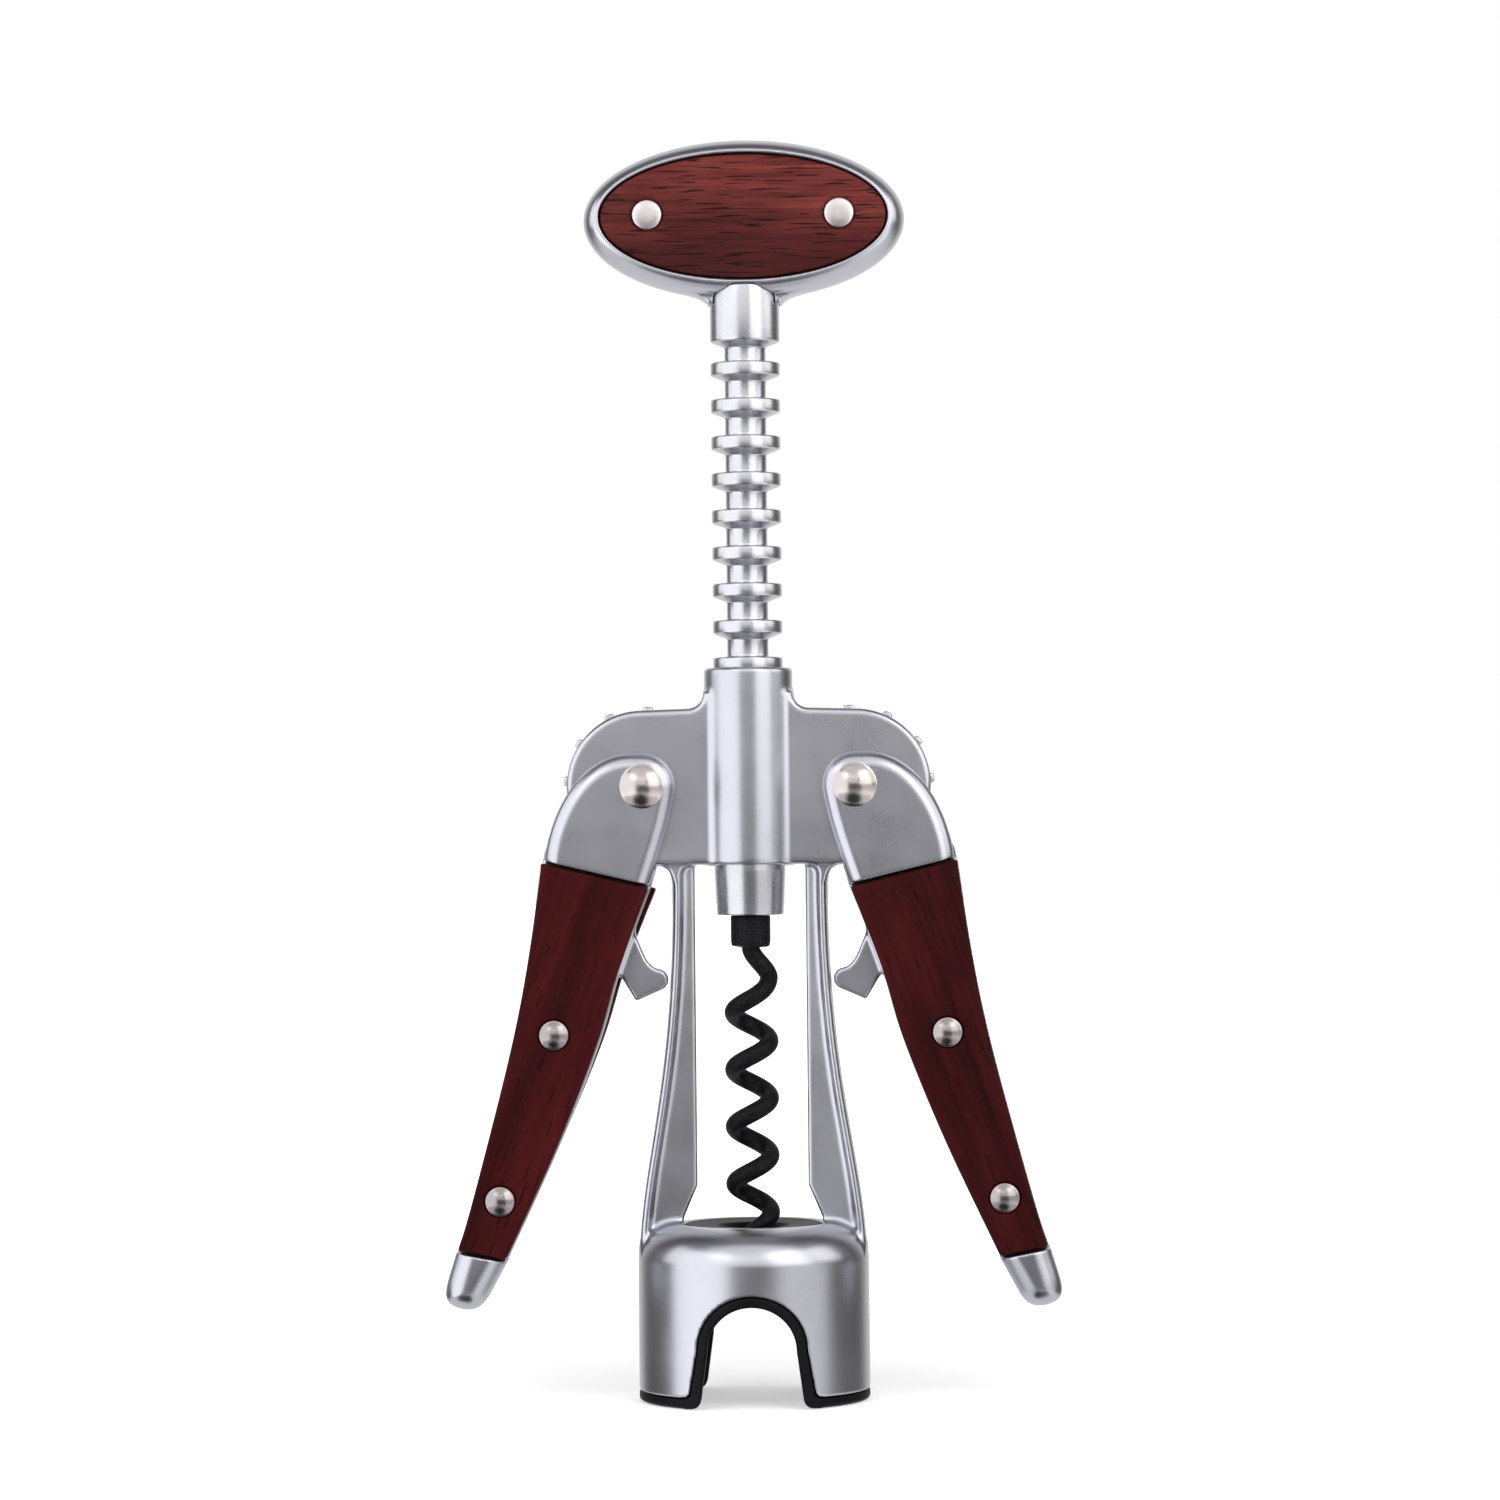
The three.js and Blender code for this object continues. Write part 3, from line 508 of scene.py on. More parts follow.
def polished_nickel(name, dark, light, rough_low, rough_high):
    """Domed pins and rivets with a warm tint and faint marks."""
    n = Nodes(name)
    place = n.place()
    marks = n.noise(place, 2.2, 4)
    tint = n.noise(place, 0.35, 2)
    colour = n.mix(n.span(tint, 0.3, 0.7, 0, 1), dark, light)
    rough = n.span(marks, 0.3, 0.7, rough_low, rough_high)
    return n.finish(Base_Color=colour, Metallic=1.0, Roughness=rough, Normal=n.bump(marks, 0.003, 0.2))


def brushed_nickel():
    """The flat rivets of the handle, with circular brush marks round each rivet's middle."""
    n = Nodes("brushed_nickel")
    place = n.place()
    across = n.add("ShaderNodeSeparateXYZ", {0: place})
    off_x = n.maths("SUBTRACT", n.maths("ABSOLUTE", across.outputs["X"]), HANDLE_RIVET_X)
    off_z = n.maths("SUBTRACT", across.outputs["Z"], HANDLE_RIVET_Z)
    from_middle = n.maths("SQRT", n.maths("ADD", n.maths("POWER", off_x, 2.0), n.maths("POWER", off_z, 2.0)))
    along = n.add("ShaderNodeCombineXYZ", {"X": from_middle}).outputs[0]
    rings = n.noise(along, 5.0, 3)
    tint = n.noise(place, 0.6, 2)
    colour = n.mix(n.span(tint, 0.3, 0.7, 0, 1), (0.60, 0.565, 0.56), (0.72, 0.685, 0.675))
    rough = n.span(rings, 0.3, 0.7, 0.26, 0.40)
    return n.finish(Base_Color=colour, Metallic=1.0, Roughness=rough, Normal=n.bump(rings, 0.02, 0.6))


def red_wood(name, turn, dark, light, pore_share, streak_share, patch_share, sheen):
    """Oiled red-brown hardwood. turn lays the grain, which runs along the texture's Z."""
    n = Nodes(name)
    wander = n.noise(n.place((0.25, 0.25, 0.04), turn), 1.0, 2)
    lean = n.add("ShaderNodeCombineXYZ", {"X": n.maths("MULTIPLY", wander, 0.0012)}).outputs[0]

    def grain(scale):
        where = n.place(scale, turn)
        moved = n.add("ShaderNodeVectorMath", {0: where, 1: lean}, operation="ADD")
        return moved.outputs[0]

    bands = n.noise(grain((0.22, 0.22, 0.014)), 1.0, 4, 0.6)
    streaks = n.noise(grain((1.3, 1.3, 0.045)), 1.0, 4, 0.6)
    fibres = n.noise(grain((8.0, 8.0, 0.30)), 1.0, 3, 0.6)
    pores = n.noise(grain((3.6, 3.6, 0.19)), 1.0, 0)
    patches = n.noise(n.place((0.10, 0.10, 0.05), turn), 1.0, 2)
    broad = n.span(bands, 0.3, 0.7, 0.0, 1.0 - streak_share)
    tone = n.maths("ADD", broad, n.span(streaks, 0.3, 0.7, 0.0, streak_share))
    middle = tuple((a + b) / 2 for a, b in zip(dark, light))
    colour = n.ramp(tone, [(0.15, dark), (0.5, middle), (0.9, light)])
    colour = n.mix(n.span(patches, 0.38, 0.62, 0, patch_share), colour, tuple(c * 0.6 for c in dark))
    colour = n.mix(n.span(fibres, 0.45, 0.75, 0, 0.3), colour, tuple(c * 0.5 for c in dark))
    pits = n.span(pores, pore_share, pore_share + 0.03, 0.0, 1.0)
    # Painted shade on the handle only: its wood is darkened towards its lower edge, standing in for less light falling
    # there.
    height = n.add("ShaderNodeSeparateXYZ", {0: n.place()}).outputs["Z"]
    lower = n.span(height, WOOD_Z - 7.0, WOOD_Z + 0.5, 0.85, 0.0)
    if name == "red_wood_handle":
        colour = n.mix(lower, colour, dark)
    colour = n.mix(n.maths("MULTIPLY", pits, 0.88), colour, (0.008, 0.002, 0.002))
    rough = n.maths("ADD", n.span(streaks, 0.3, 0.7, 0.38, 0.50), n.maths("MULTIPLY", pits, 0.25))
    depth = n.maths("SUBTRACT", fibres, n.maths("MULTIPLY", pits, 1.6))
    return n.finish(Base_Color=colour, Roughness=rough, Normal=n.bump(depth, 0.03, 0.5), Specular_IOR_Level=sheen)


def black_plastic():
    """Moulded black plastic with a fine matte grain."""
    n = Nodes("black_plastic")
    place = n.place()
    grain = n.noise(place, 5.0, 3)
    clouds = n.noise(place, 0.4, 2)
    colour = n.mix(n.span(clouds, 0.3, 0.7, 0, 1), (0.002, 0.002, 0.0028), (0.004, 0.004, 0.0052))
    rough = n.span(grain, 0.3, 0.7, 0.42, 0.58)
    return n.finish(Base_Color=colour, Roughness=rough, Normal=n.bump(grain, 0.02, 0.5), Specular_IOR_Level=0.13)


def black_coating():
    """Non-stick coating on the worm: matte black with pale specks and a pebbled skin."""
    n = Nodes("black_coating")
    place = n.place()
    pebble = n.noise(place, 3.2, 3)
    specks = n.noise(place, 6.5, 1)
    pale = n.span(specks, 0.66, 0.74, 0, 0.6)
    base = n.mix(n.span(pebble, 0.3, 0.7, 0, 1), (0.002, 0.002, 0.0026), (0.005, 0.005, 0.0062))
    colour = n.mix(pale, base, (0.11, 0.11, 0.12))
    rough = n.span(pebble, 0.3, 0.7, 0.42, 0.62)
    return n.finish(Base_Color=colour, Roughness=rough, Normal=n.bump(pebble, 0.06, 0.6), Specular_IOR_Level=0.14)


ARM_LEAN = math.atan2(46.0 - 24.0, 83.0 - 23.0)  # how far an arm leans away from upright
LEFT_WOOD = ((0.026, 0.0020, 0.0026), (0.068, 0.0058, 0.0060), 0.72, 0.30, 0.3, 0.06)
RIGHT_WOOD = ((0.016, 0.0016, 0.0020), (0.062, 0.0054, 0.0056), 0.72, 0.30, 0.5, 0.06)
HANDLE_WOOD = ((0.036, 0.0045, 0.0048), (0.200, 0.036, 0.029), 0.665, 0.45, 0.5, 0.10)
CAST = satin_cast_metal()
TURNED = turned_metal()
NICKEL = polished_nickel("warm_nickel", (0.49, 0.45, 0.43), (0.55, 0.505, 0.485), 0.19, 0.26)
DULL = polished_nickel("dull_nickel", (0.33, 0.305, 0.30), (0.39, 0.36, 0.355), 0.20, 0.27)
BRUSHED = brushed_nickel()
PLASTIC = black_plastic()
COATING = black_coating()
WOOD = {
    "left": red_wood("red_wood_left", (0, -ARM_LEAN, 0), *LEFT_WOOD),
    "right": red_wood("red_wood_right", (0, ARM_LEAN, 0), *RIGHT_WOOD),
    "handle": red_wood("red_wood_handle", (0, math.pi / 2, 0), *HANDLE_WOOD),
}


def stand_for(piece, node, material):
    """The piece takes the node's place on the node's body, with a material and a slot."""
    body = next(b for b, nodes in frame["record"]["behaviour"]["bodies"].items() if node in nodes)
    piece.data.materials.clear()
    piece.data.materials.append(material)
    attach(piece, body)
    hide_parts(node)
    return piece


# ---- frame casting ------------------------------------------------------------------------


def cheek_outline():
    fillet = 2.6
    cx = BARREL_R + fillet
    return (
        [(-1, BARREL_FOOT_Z), (-1, CHEEK_TOP_Z + fillet), (BARREL_R, CHEEK_TOP_Z + fillet)]
        + arc(cx, CHEEK_TOP_Z + fillet, fillet, 180, 270, 12)
        + arc(PIVOT_X, PIVOT_Z, CHEEK_R, 90, -90, 60)
        + [(PIVOT_X, BARREL_FOOT_Z)]
    )


def flange_outline():
    fillet = 2.2
    inner = shifted(leg_outer_edge(), -LEG_FLANGE)
    return (
        [(LEG_TOP_X + fillet, BARREL_FOOT_Z + 0.8), (LEG_TOP_X + fillet, BARREL_FOOT_Z)]
        + arc(LEG_TOP_X + fillet, BARREL_FOOT_Z - fillet, fillet, 90, 180, 10)
        + leg_outer_edge()
        + [(BELL_R - 0.4, 17), (BELL_R - 1.2, 17)]
        + inner[::-1]
        + [(LEG_TOP_X - LEG_FLANGE, BARREL_FOOT_Z - 1.6)]
        + arc(LEG_TOP_X - LEG_FLANGE - 1.6, BARREL_FOOT_Z - 1.6, 1.6, 0, 90, 8)
        + [(LEG_TOP_X - LEG_FLANGE - 1.6, BARREL_FOOT_Z + 0.8)]
    )


def web_outline():
    return (
        [(WEB_INNER_X, BARREL_FOOT_Z + 0.5), (LEG_TOP_X - LEG_FLANGE / 2, BARREL_FOOT_Z + 0.5)]
        + shifted(leg_outer_edge(), -LEG_FLANGE / 2)
        + [(16, 24.8), (11.5, 26.8), (WEB_INNER_X, 33.4)]
    )


def bell_profile(foot_z=BELL_FOOT_Z):
    cx, cz = BELL_R - SHOULDER_R, BELL_TOP_Z - SHOULDER_R
    return (
        [(BELL_R - BELL_WALL, foot_z + 0.2), (BELL_R - BELL_WALL + 0.2, foot_z)]
        + [(BELL_R - 0.25, foot_z), (BELL_R, foot_z + 0.25)]
        + arc(cx, cz, SHOULDER_R, 0, 90)
        + [(OPENING_R + 0.25, BELL_TOP_Z), (OPENING_R, BELL_TOP_Z - 0.25), (OPENING_R, BELL_TOP_Z - BELL_WALL)]
        + arc(cx, cz, SHOULDER_R - BELL_WALL, 90, 0)
    )


def leg_envelope(block):
    """Distance outside the turned shape that the legs' outer faces lie on."""
    edge = np.array([(BELL_R, 0.0)] + leg_outer_edge()[::-1] + [(LEG_TOP_X, 80.4), (13.2, 82.6), (30.0, 84.0)])
    radius = np.interp(block.z, edge[:, 1], edge[:, 0])
    return np.hypot(block.x3, block.y3) - radius[None, None, :]


def build_frame_casting():
    block = Block((0, 0, BELL_FOOT_Z - 1), (CAST_HIGH.x + 0.6, BELL_R + 0.6, BARREL_TOP_Z + 0.8), 0.3, mirror="xy")
    radius = np.hypot(block.x3, block.y3)
    middle = (BARREL_TOP_Z + BARREL_FOOT_Z) / 2
    barrel = rounded_both(radius - BARREL_R, np.abs(block.z3 - middle) - (BARREL_TOP_Z - middle), 0.6)
    cheeks = block.plate(cheek_outline(), CHEEK_HALF, 0.8)
    flange = rounded_both(block.outline(flange_outline()), block.y3 - FLANGE_HALF, 0.55)
    flange = smooth_max(flange, leg_envelope(block), 0.8)
    web_half = WEB_HALF + WEB_DRAFT * (block.x3 - WEB_MIDDLE_X)
    web = rounded_both(block.outline(web_outline()), block.y3 - web_half, 0.35)
    bell = block.turned(bell_profile())
    body = smooth_min(barrel, cheeks, 0.9)
    legs = smooth_min(flange, web, 0.9)
    legs = smooth_min(legs, bell, 1.2)
    inside_bell = block.turned([(0, 0), (BELL_R - BELL_WALL, 0)]
                               + arc(BELL_R - SHOULDER_R, BELL_TOP_Z - SHOULDER_R, SHOULDER_R - BELL_WALL, 0, 90)
                               + [(OPENING_R, BELL_TOP_Z - BELL_WALL), (OPENING_R, BELL_TOP_Z + 0.1), (0, BELL_TOP_Z + 0.1)])
    legs = smooth_max(np.maximum(legs, leg_envelope(block)), -inside_bell, 0.15)
    body = smooth_min(body, legs, 0.5)
    bore = radius - BORE_R
    slot = block.rod_across(PIVOT_X, PIVOT_Z, SLOT_R, SLOT_HALF, 0.1)
    hole = np.hypot(block.x3 - PIVOT_X, block.z3 - PIVOT_Z) - PIN_HOLE_R
    arch = block.outline(arch_outline(METAL_ARCH, BELL_FOOT_Z, 1.1))
    above = np.maximum(bore, BARREL_FOOT_Z - 6 - block.z3)
    for cutter, round_mm in ((above, 0.4), (slot, 0.3), (hole, 0.2), (arch, 0.35)):
        body = smooth_max(body, -cutter, round_mm)
    piece = mesh_from_field("frame_casting_fine", block, body)
    return stand_for(piece, "frame_casting", CAST)


def build_liner():
    outer = BELL_R - BELL_WALL - 0.1
    inner = outer - 0.95
    cx, cz = BELL_R - SHOULDER_R, BELL_TOP_Z - SHOULDER_R
    boss = OPENING_R - 0.1
    top = BELL_TOP_Z - 0.05
    hole = 4.9
    floor = 24.2
    seat = 14.4
    profile = (
        [(inner, 0), (BELL_R - 0.5, 0), (BELL_R, 0.5), (BELL_R, BELL_FOOT_Z - 0.1), (outer, BELL_FOOT_Z - 0.1)]
        + arc(cx, cz, outer - cx, 0, 90)
        + [(boss, cz + outer - cx), (boss, top - 0.3), (boss - 0.3, top), (hole + 0.9, top - 0.3), (hole, top - 1.0)]
        + [(hole, floor), (seat, floor), (inner, floor - 1.2)]
    )
    block = Block((0, 0, -0.6), (BELL_R + 0.6, BELL_R + 0.6, top + 0.6), 0.25, mirror="xy")
    cup = block.turned(profile)
    ring = block.turned([(inner, 0), (BELL_R - 0.02, 0), (BELL_R - 0.02, METAL_ARCH[1]), (inner, METAL_ARCH[1])])
    lip = rounded_both(block.outline(arch_outline(METAL_ARCH, BELL_FOOT_Z - 0.1, 1.2, -0.1)), ring, 0.3)
    doorway = block.outline(arch_outline(LINER_ARCH, 0, 1.9))
    body = smooth_max(smooth_min(cup, lip, 0.3), -doorway, 0.4)
    body = smooth_max(body, 0.02 - block.z3, 0.3)
    piece = mesh_from_field("bottle_guide_liner_fine", block, body)
    return stand_for(piece, "bottle_guide_liner", PLASTIC)


# ---- levers -------------------------------------------------------------------------------


def head_outline():
    """The head carried 3 mm past the line where the wood starts, so that its cut is crisp."""
    return (
        [(32.2, 81.0)]
        + bezier((31.8, 84.2), (31, 92.5), (25.5, 101.5), (PIVOT_X + 1, PIVOT_Z + HEAD_R))
        + arc(PIVOT_X, PIVOT_Z, HEAD_R, 90, 190.8)
        + bezier((11.45, 94.7), (12.2, 90), (14, 85), (15.6, 80.3))
        + [(16.8, 77.2)]
    )


def core_outline():
    return (
        [(13.5, 90), (23, 94), (31.8, 86)]
        + through(ARM_OUTER)
        + [(46, 20.5), (40, 19.5)]
        + through(ARM_INNER)[::-1]
        + [(14.4, 84)]
    )


def tip_outline():
    return (
        [(45.2, 26.6), (46.2, 23.6)]
        + bezier((46.2, 23.6), (47.2, 20), (48.0, 18.4), (47.9, 16.8), 8)
        + bezier((47.9, 16.8), (47.7, 15), (45.8, 14.6), (44.4, 14.5), 8)
        + bezier((44.4, 14.5), (42.8, 14.5), (42, 15.3), (41.3, 16.5), 8)
        + [(38.3, 22), (37.1, 25)]
    )


def hook_outline():
    return (
        [(19, 75), (16.6, 69.3)]
        + bezier((16.6, 69.3), (16.0, 68.0), (15.2, 67.2), (14.0, 67.1), 8)
        + [(13.4, 66.7), (12.95, 66.0), (12.95, 64.9), (13.6, 64.1), (17.9, 62.2), (20.6, 66.6), (24, 66)]
    )


def gear_outline():
    points = []
    rising = [(TOOTH_ROOT_R, 1.4), (PITCH_R, 1.2), (TOOTH_TIP_R, 0.6)]
    falling = [(r, -half) for r, half in reversed(rising)]
    for tooth in range(TEETH_PER_TURN):
        middle = math.radians(FIRST_TOOTH_DEG - tooth * 360 / TEETH_PER_TURN)
        spots = [(r, middle + across / r) for r, across in rising + falling]
        if tooth >= TEETH:
            spots = [(TOOTH_ROOT_R, middle)]
        spots += [(TOOTH_ROOT_R, middle - math.pi / TEETH_PER_TURN)]
        points += [(PIVOT_X + r * math.cos(a), PIVOT_Z + r * math.sin(a)) for r, a in spots]
    return points


def build_lever_casting(word, side):
    block = Block((3.2, 0, LEVER_LOW.z - 0.8), (LEVER_HIGH.x + 0.8, LEVER_HALF + 0.6, LEVER_HIGH.z + 0.8), 0.25,
                  mirror="y")
    head = block.plate(head_outline(), LEVER_HALF, 2.3)
    head = rounded_both(head, -block.beyond(HEAD_CUT), 0.25)
    room = block.rod_across(PIVOT_X, PIVOT_Z, HEAD_CLEAR_R, HEAD_INNER)
    wedge = [(PIVOT_X, PIVOT_Z)] + arc(PIVOT_X, PIVOT_Z, BARREL_CLEAR_R, -36, 30)
    barrel_room = block.plate(wedge, HEAD_INNER, 0.01)
    head = smooth_max(head, -np.minimum(room, barrel_room), 0.3)
    core = block.plate(core_outline(), CORE_HALF, 0.3)
    gear = block.plate(gear_outline(), CORE_HALF, 0.25)
    tip = block.plate(tip_outline(), LEVER_HALF, 3.2)
    tip = rounded_both(tip, block.beyond(TIP_CUT), 0.25)
    hook = block.plate(hook_outline(), 1.4, 0.45)
    body = smooth_min(head, core, 0.4)
    for part, round_mm in ((gear, 0.5), (tip, 0.3), (hook, 0.8)):
        body = smooth_min(body, part, round_mm)
    holes = [np.hypot(block.x3 - x, block.z3 - z) - 1.3 for x, z in RIVET_SPOTS.values()]
    holes.append(np.hypot(block.x3 - PIVOT_X, block.z3 - PIVOT_Z) - PIN_HOLE_R)
    for hole in holes:
        body = smooth_max(body, -hole, 0.1)
    node = f"lever_{word}_casting"
    piece = mesh_from_field(node + "_fine", block, body, side)
    return stand_for(piece, node, CAST)


def build_lever_scale(word, side, face):
    """One wood scale: face -1 is the front of the lever and 1 its back."""
    inner, outer = CORE_HALF + 0.1, SCALE_FACE
    block = Block((13.5, inner - 0.6, 21), (48, outer + 0.6, 85), 0.25)
    slip = SCALE_SLIP if word == "left" and face > 0 else 0.0
    slip_per_mm = slip / (ARM_INNER[0][1] - SCALE_SLIP_FOOT_Z)
    inner_edge = [(x - slip_per_mm * max(0, z - SCALE_SLIP_FOOT_Z), z) for x, z in ARM_INNER]
    outline = (
        [(32.5 - SCALE_INSET, 85.5)]
        + shifted(through(ARM_OUTER), -SCALE_INSET)
        + [(46.4, 20), (39.8, 19)]
        + shifted(through(inner_edge)[::-1], SCALE_INSET)
        + [(14.2 - slip, 84.5)]
    )
    flat = rounded_both(block.outline(outline), block.beyond(HEAD_CUT, -0.42), 0.3)
    flat = rounded_both(flat, -block.beyond(TIP_CUT, 0.42), 0.3)
    middle = (inner + outer) / 2
    body = rounded_both(flat, np.abs(block.y3 - middle) - (outer - middle), 0.4)
    for x, z in RIVET_SPOTS.values():
        radius = np.hypot(block.x3 - x, block.z3 - z)
        body = smooth_max(body, 1.3 - radius, 0.1)
        body = smooth_max(body, -np.maximum(radius - 2.5, outer - 0.35 - block.y3), 0.1)
    word_face = "front" if face < 0 else "back"
    node = f"lever_{word}_scale_{word_face}"
    piece = mesh_from_field(node + "_fine", block, body, side)
    if face < 0:
        piece.data.transform(Matrix.Scale(-1, 4, (0, 1, 0)))
        piece.data.flip_normals()
    return stand_for(piece, node, WOOD[word])


# ---- fasteners ----------------------------------------------------------------------------


def build_flat_rivet(node, shank_r, head_r, head_h, seat, x, z):
    """A rivet with a nearly flat head at each end, turned about Y."""
    round_r = 0.28
    edge = arc(head_r - round_r, seat + head_h - 0.1 - round_r, round_r, 0, 75, 5)
    half = [(shank_r, seat), (head_r - 0.05, seat)] + edge + [(head_r * 0.45, seat + head_h - 0.02)]
    half.append((0.0, seat + head_h))
    profile = [(r, -y) for r, y in reversed(half)] + half
    piece = spun(node + "_fine", profile, 64, "y", (x, 0, z), sharp_deg=40)
    return stand_for(piece, node, BRUSHED)


def build_pin(node, material, shank_r, head_r, head_h, seat, x, z, steps=48):
    """A pin with a domed head at each end, turned about Y."""
    dome_r = (head_r**2 + head_h**2) / (2 * head_h)
    centre = seat + head_h - dome_r
    edge = math.degrees(math.asin((dome_r - head_h) / dome_r))
    dome = arc(0, centre, dome_r, edge, 90, 14)
    dome[-1] = (0.0, dome[-1][1])
    skirt = [(shank_r, seat), (head_r - 0.08, seat), (head_r, seat + 0.08)]
    half = [p for p in skirt if p[1] <= dome[0][1] + 0.09] + dome[1:]
    profile = [(r, -y) for r, y in reversed(half)] + half
    piece = spun(node + "_fine", profile, steps, "y", (x, 0, z), sharp_deg=40)
    return stand_for(piece, node, material)


# ---- handle -------------------------------------------------------------------------------


def skirt_outline():
    """The small skirt that runs from the handle's lower rim down the side of the neck."""
    low = HANDLE_LOW.z
    return (
        [(RING_R - 1, low), (RING_R + 0.25, low)]
        + bezier((RING_R + 0.25, low), (RING_R + 0.6, low + 0.7), (RING_R + 1.6, low + 1.3), (RING_R + 4, low + 2.2), 8)
        + [(RING_R - 1, low + 3)]
    )


def oval(inset, middle_z, steps=160):
    turns = np.arange(steps) * 2 * math.pi / steps
    half_x, half_z = HANDLE_HALF_X - inset, HANDLE_HALF_Z - inset
    return [(half_x * math.cos(a), middle_z + half_z * math.sin(a)) for a in turns]


def build_handle_body():
    block = Block((0, 0, HANDLE_LOW.z - 0.8), (HANDLE_HALF_X + 0.8, HANDLE_HALF_Y + 0.6, HANDLE_HIGH.z + 0.8), 0.25,
                  mirror="xy")
    edge = block.outline(oval(0, HANDLE_Z))
    in_rim = np.maximum(edge + HANDLE_RIM, 0) / HANDLE_RIM
    rim = (np.hypot(in_rim, block.y3 / HANDLE_HALF_Y) - 1) * HANDLE_RIM
    recess = rounded_both(block.outline(oval(HANDLE_RIM, WOOD_Z)), HANDLE_CORE - block.y3, 0.2)
    skirt = block.plate(skirt_outline(), SKIRT_HALF, 0.6)
    body = smooth_max(smooth_min(rim, skirt, 0.5), -recess, 0.35)
    radius = np.hypot(block.x3, block.y3)
    socket = np.maximum(radius - RING_R - 0.1, block.z3 - NECK_TOP_Z - 0.1)
    bore = np.maximum(radius - SPIGOT_R - 0.1, block.z3 - SHAFT_HIGH.z - 0.1)
    body = smooth_max(body, -np.minimum(socket, bore), 0.2)
    hole = np.hypot(block.x3 - HANDLE_RIVET_X, block.z3 - HANDLE_RIVET_Z) - 1.3
    body = smooth_max(body, -hole, 0.1)
    piece = mesh_from_field("handle_body_fine", block, body)
    return stand_for(piece, "handle_body", CAST)


def build_handle_scale(face):
    inner, outer = HANDLE_CORE + 0.1, HANDLE_SCALE_FACE
    block = Block((0, inner - 0.6, HANDLE_LOW.z), (HANDLE_HALF_X, outer + 0.6, HANDLE_HIGH.z), 0.25, mirror="x")
    middle = (inner + outer) / 2
    body = rounded_both(block.outline(oval(HANDLE_RIM + 0.22, WOOD_Z)), np.abs(block.y3 - middle) - (outer - middle), 0.3)
    radius = np.hypot(block.x3 - HANDLE_RIVET_X, block.z3 - HANDLE_RIVET_Z)
    body = smooth_max(body, 1.3 - radius, 0.1)
    body = smooth_max(body, -np.maximum(radius - 2.5, outer - 0.3 - block.y3), 0.1)
    node = "handle_scale_front" if face < 0 else "handle_scale_back"
    piece = mesh_from_field(node + "_fine", block, body)
    if face < 0:
        piece.data.transform(Matrix.Scale(-1, 4, (0, 1, 0)))
        piece.data.flip_normals()
    return stand_for(piece, node, WOOD["handle"])


# ---- shaft, collar, hub and worm ----------------------------------------------------------


def build_cross_pin():
    r, half, z = 0.9, HANDLE_CORE - 0.1, 178.6
    profile = eased([(0, -half), (r, -half), (r, half), (0, half)], 0.15)
    return stand_for(spun("handle_cross_pin_fine", profile, 32, "y", (0, 0, z)), "handle_cross_pin", NICKEL)


def build_rack_shaft():
    foot = SHAFT_LOW.z
    profile = [(0, foot), (SPIGOT_R, foot)]
    for ring in range(RING_COUNT - 1, -1, -1):
        z = TOP_RING_Z - ring * RING_PITCH
        low, high = z - RING_EDGE / 2, z + RING_EDGE / 2
        root = SPIGOT_R if ring == RING_COUNT - 1 else RING_ROOT_R
        profile += [(root, low - RING_CONE), (RING_R, low), (RING_R, high), (RING_ROOT_R + 0.15, high)]
        profile += [(RING_ROOT_R, high + 0.35)]
    profile += [(RING_ROOT_R, NECK_FOOT_Z - RING_CONE), (RING_R, NECK_FOOT_Z), (RING_R, NECK_TOP_Z)]
    profile += [(SPIGOT_R, NECK_TOP_Z), (SPIGOT_R, SHAFT_HIGH.z), (0, SHAFT_HIGH.z)]
    piece = spun("rack_shaft_fine", eased(profile, 0.32), 128, sharp_deg=35)
    return stand_for(piece, "rack_shaft", TURNED)


def build_collar():
    bore = SPIGOT_R + 0.3
    low, high = COLLAR_LOW.z, COLLAR_HIGH.z
    outer = [(bore, low), (5.2, low), (COLLAR_HIGH.x, BARREL_FOOT_Z - 1), (COLLAR_HIGH.x, high), (bore, high)]
    profile = eased(outer, 0.25)
    piece = spun("guide_collar_fine", profile + [profile[0]], 96, sharp_deg=35)
    return stand_for(piece, "guide_collar", TURNED)


def build_hub():
    low, high = HUB_LOW.z, HUB_HIGH.z
    r, bore = HUB_HIGH.x, WIRE_R + 0.08
    outer = [(bore, low), (r - 0.1, low), (r, low + 1.2), (r, high), (bore, high)]
    profile = eased(outer, 0.25)
    piece = spun("worm_hub_fine", profile + [profile[0]], 72, sharp_deg=35)
    for vertex in piece.data.vertices:  # the dipped coating leaves an uneven lower edge
        x, y, z = vertex.co / MM
        if z < low + 0.6 and math.hypot(x, y) > r - 0.8:
            angle = math.atan2(y, x)
            sag = 0.5 + 0.3 * math.sin(2 * angle + 0.6) + 0.2 * math.sin(5 * angle)
            vertex.co.z += 0.45 * sag * MM
    return stand_for(piece, "worm_hub", COATING)


def worm_centre(z):
    """Where the wire's middle is at height z: straight in the hub, then a right-handed coil."""
    share = np.clip((HUB_LOW.z - z) / (HUB_LOW.z - WORM_START_Z), 0, 1)
    opening = share * share * (3 - 2 * share)
    above = min(max(z - EVEN_PITCH_Z, 0), STRAIGHTEN_LENGTH)
    eased = above - above**3 / (3 * STRAIGHTEN_LENGTH**2)
    angle = 2 * math.pi * (min(z, EVEN_PITCH_Z) + eased - WORM_CREST_Z) / WORM_PITCH
    return np.array([WORM_R * opening * math.cos(angle), WORM_R * opening * math.sin(angle), z])


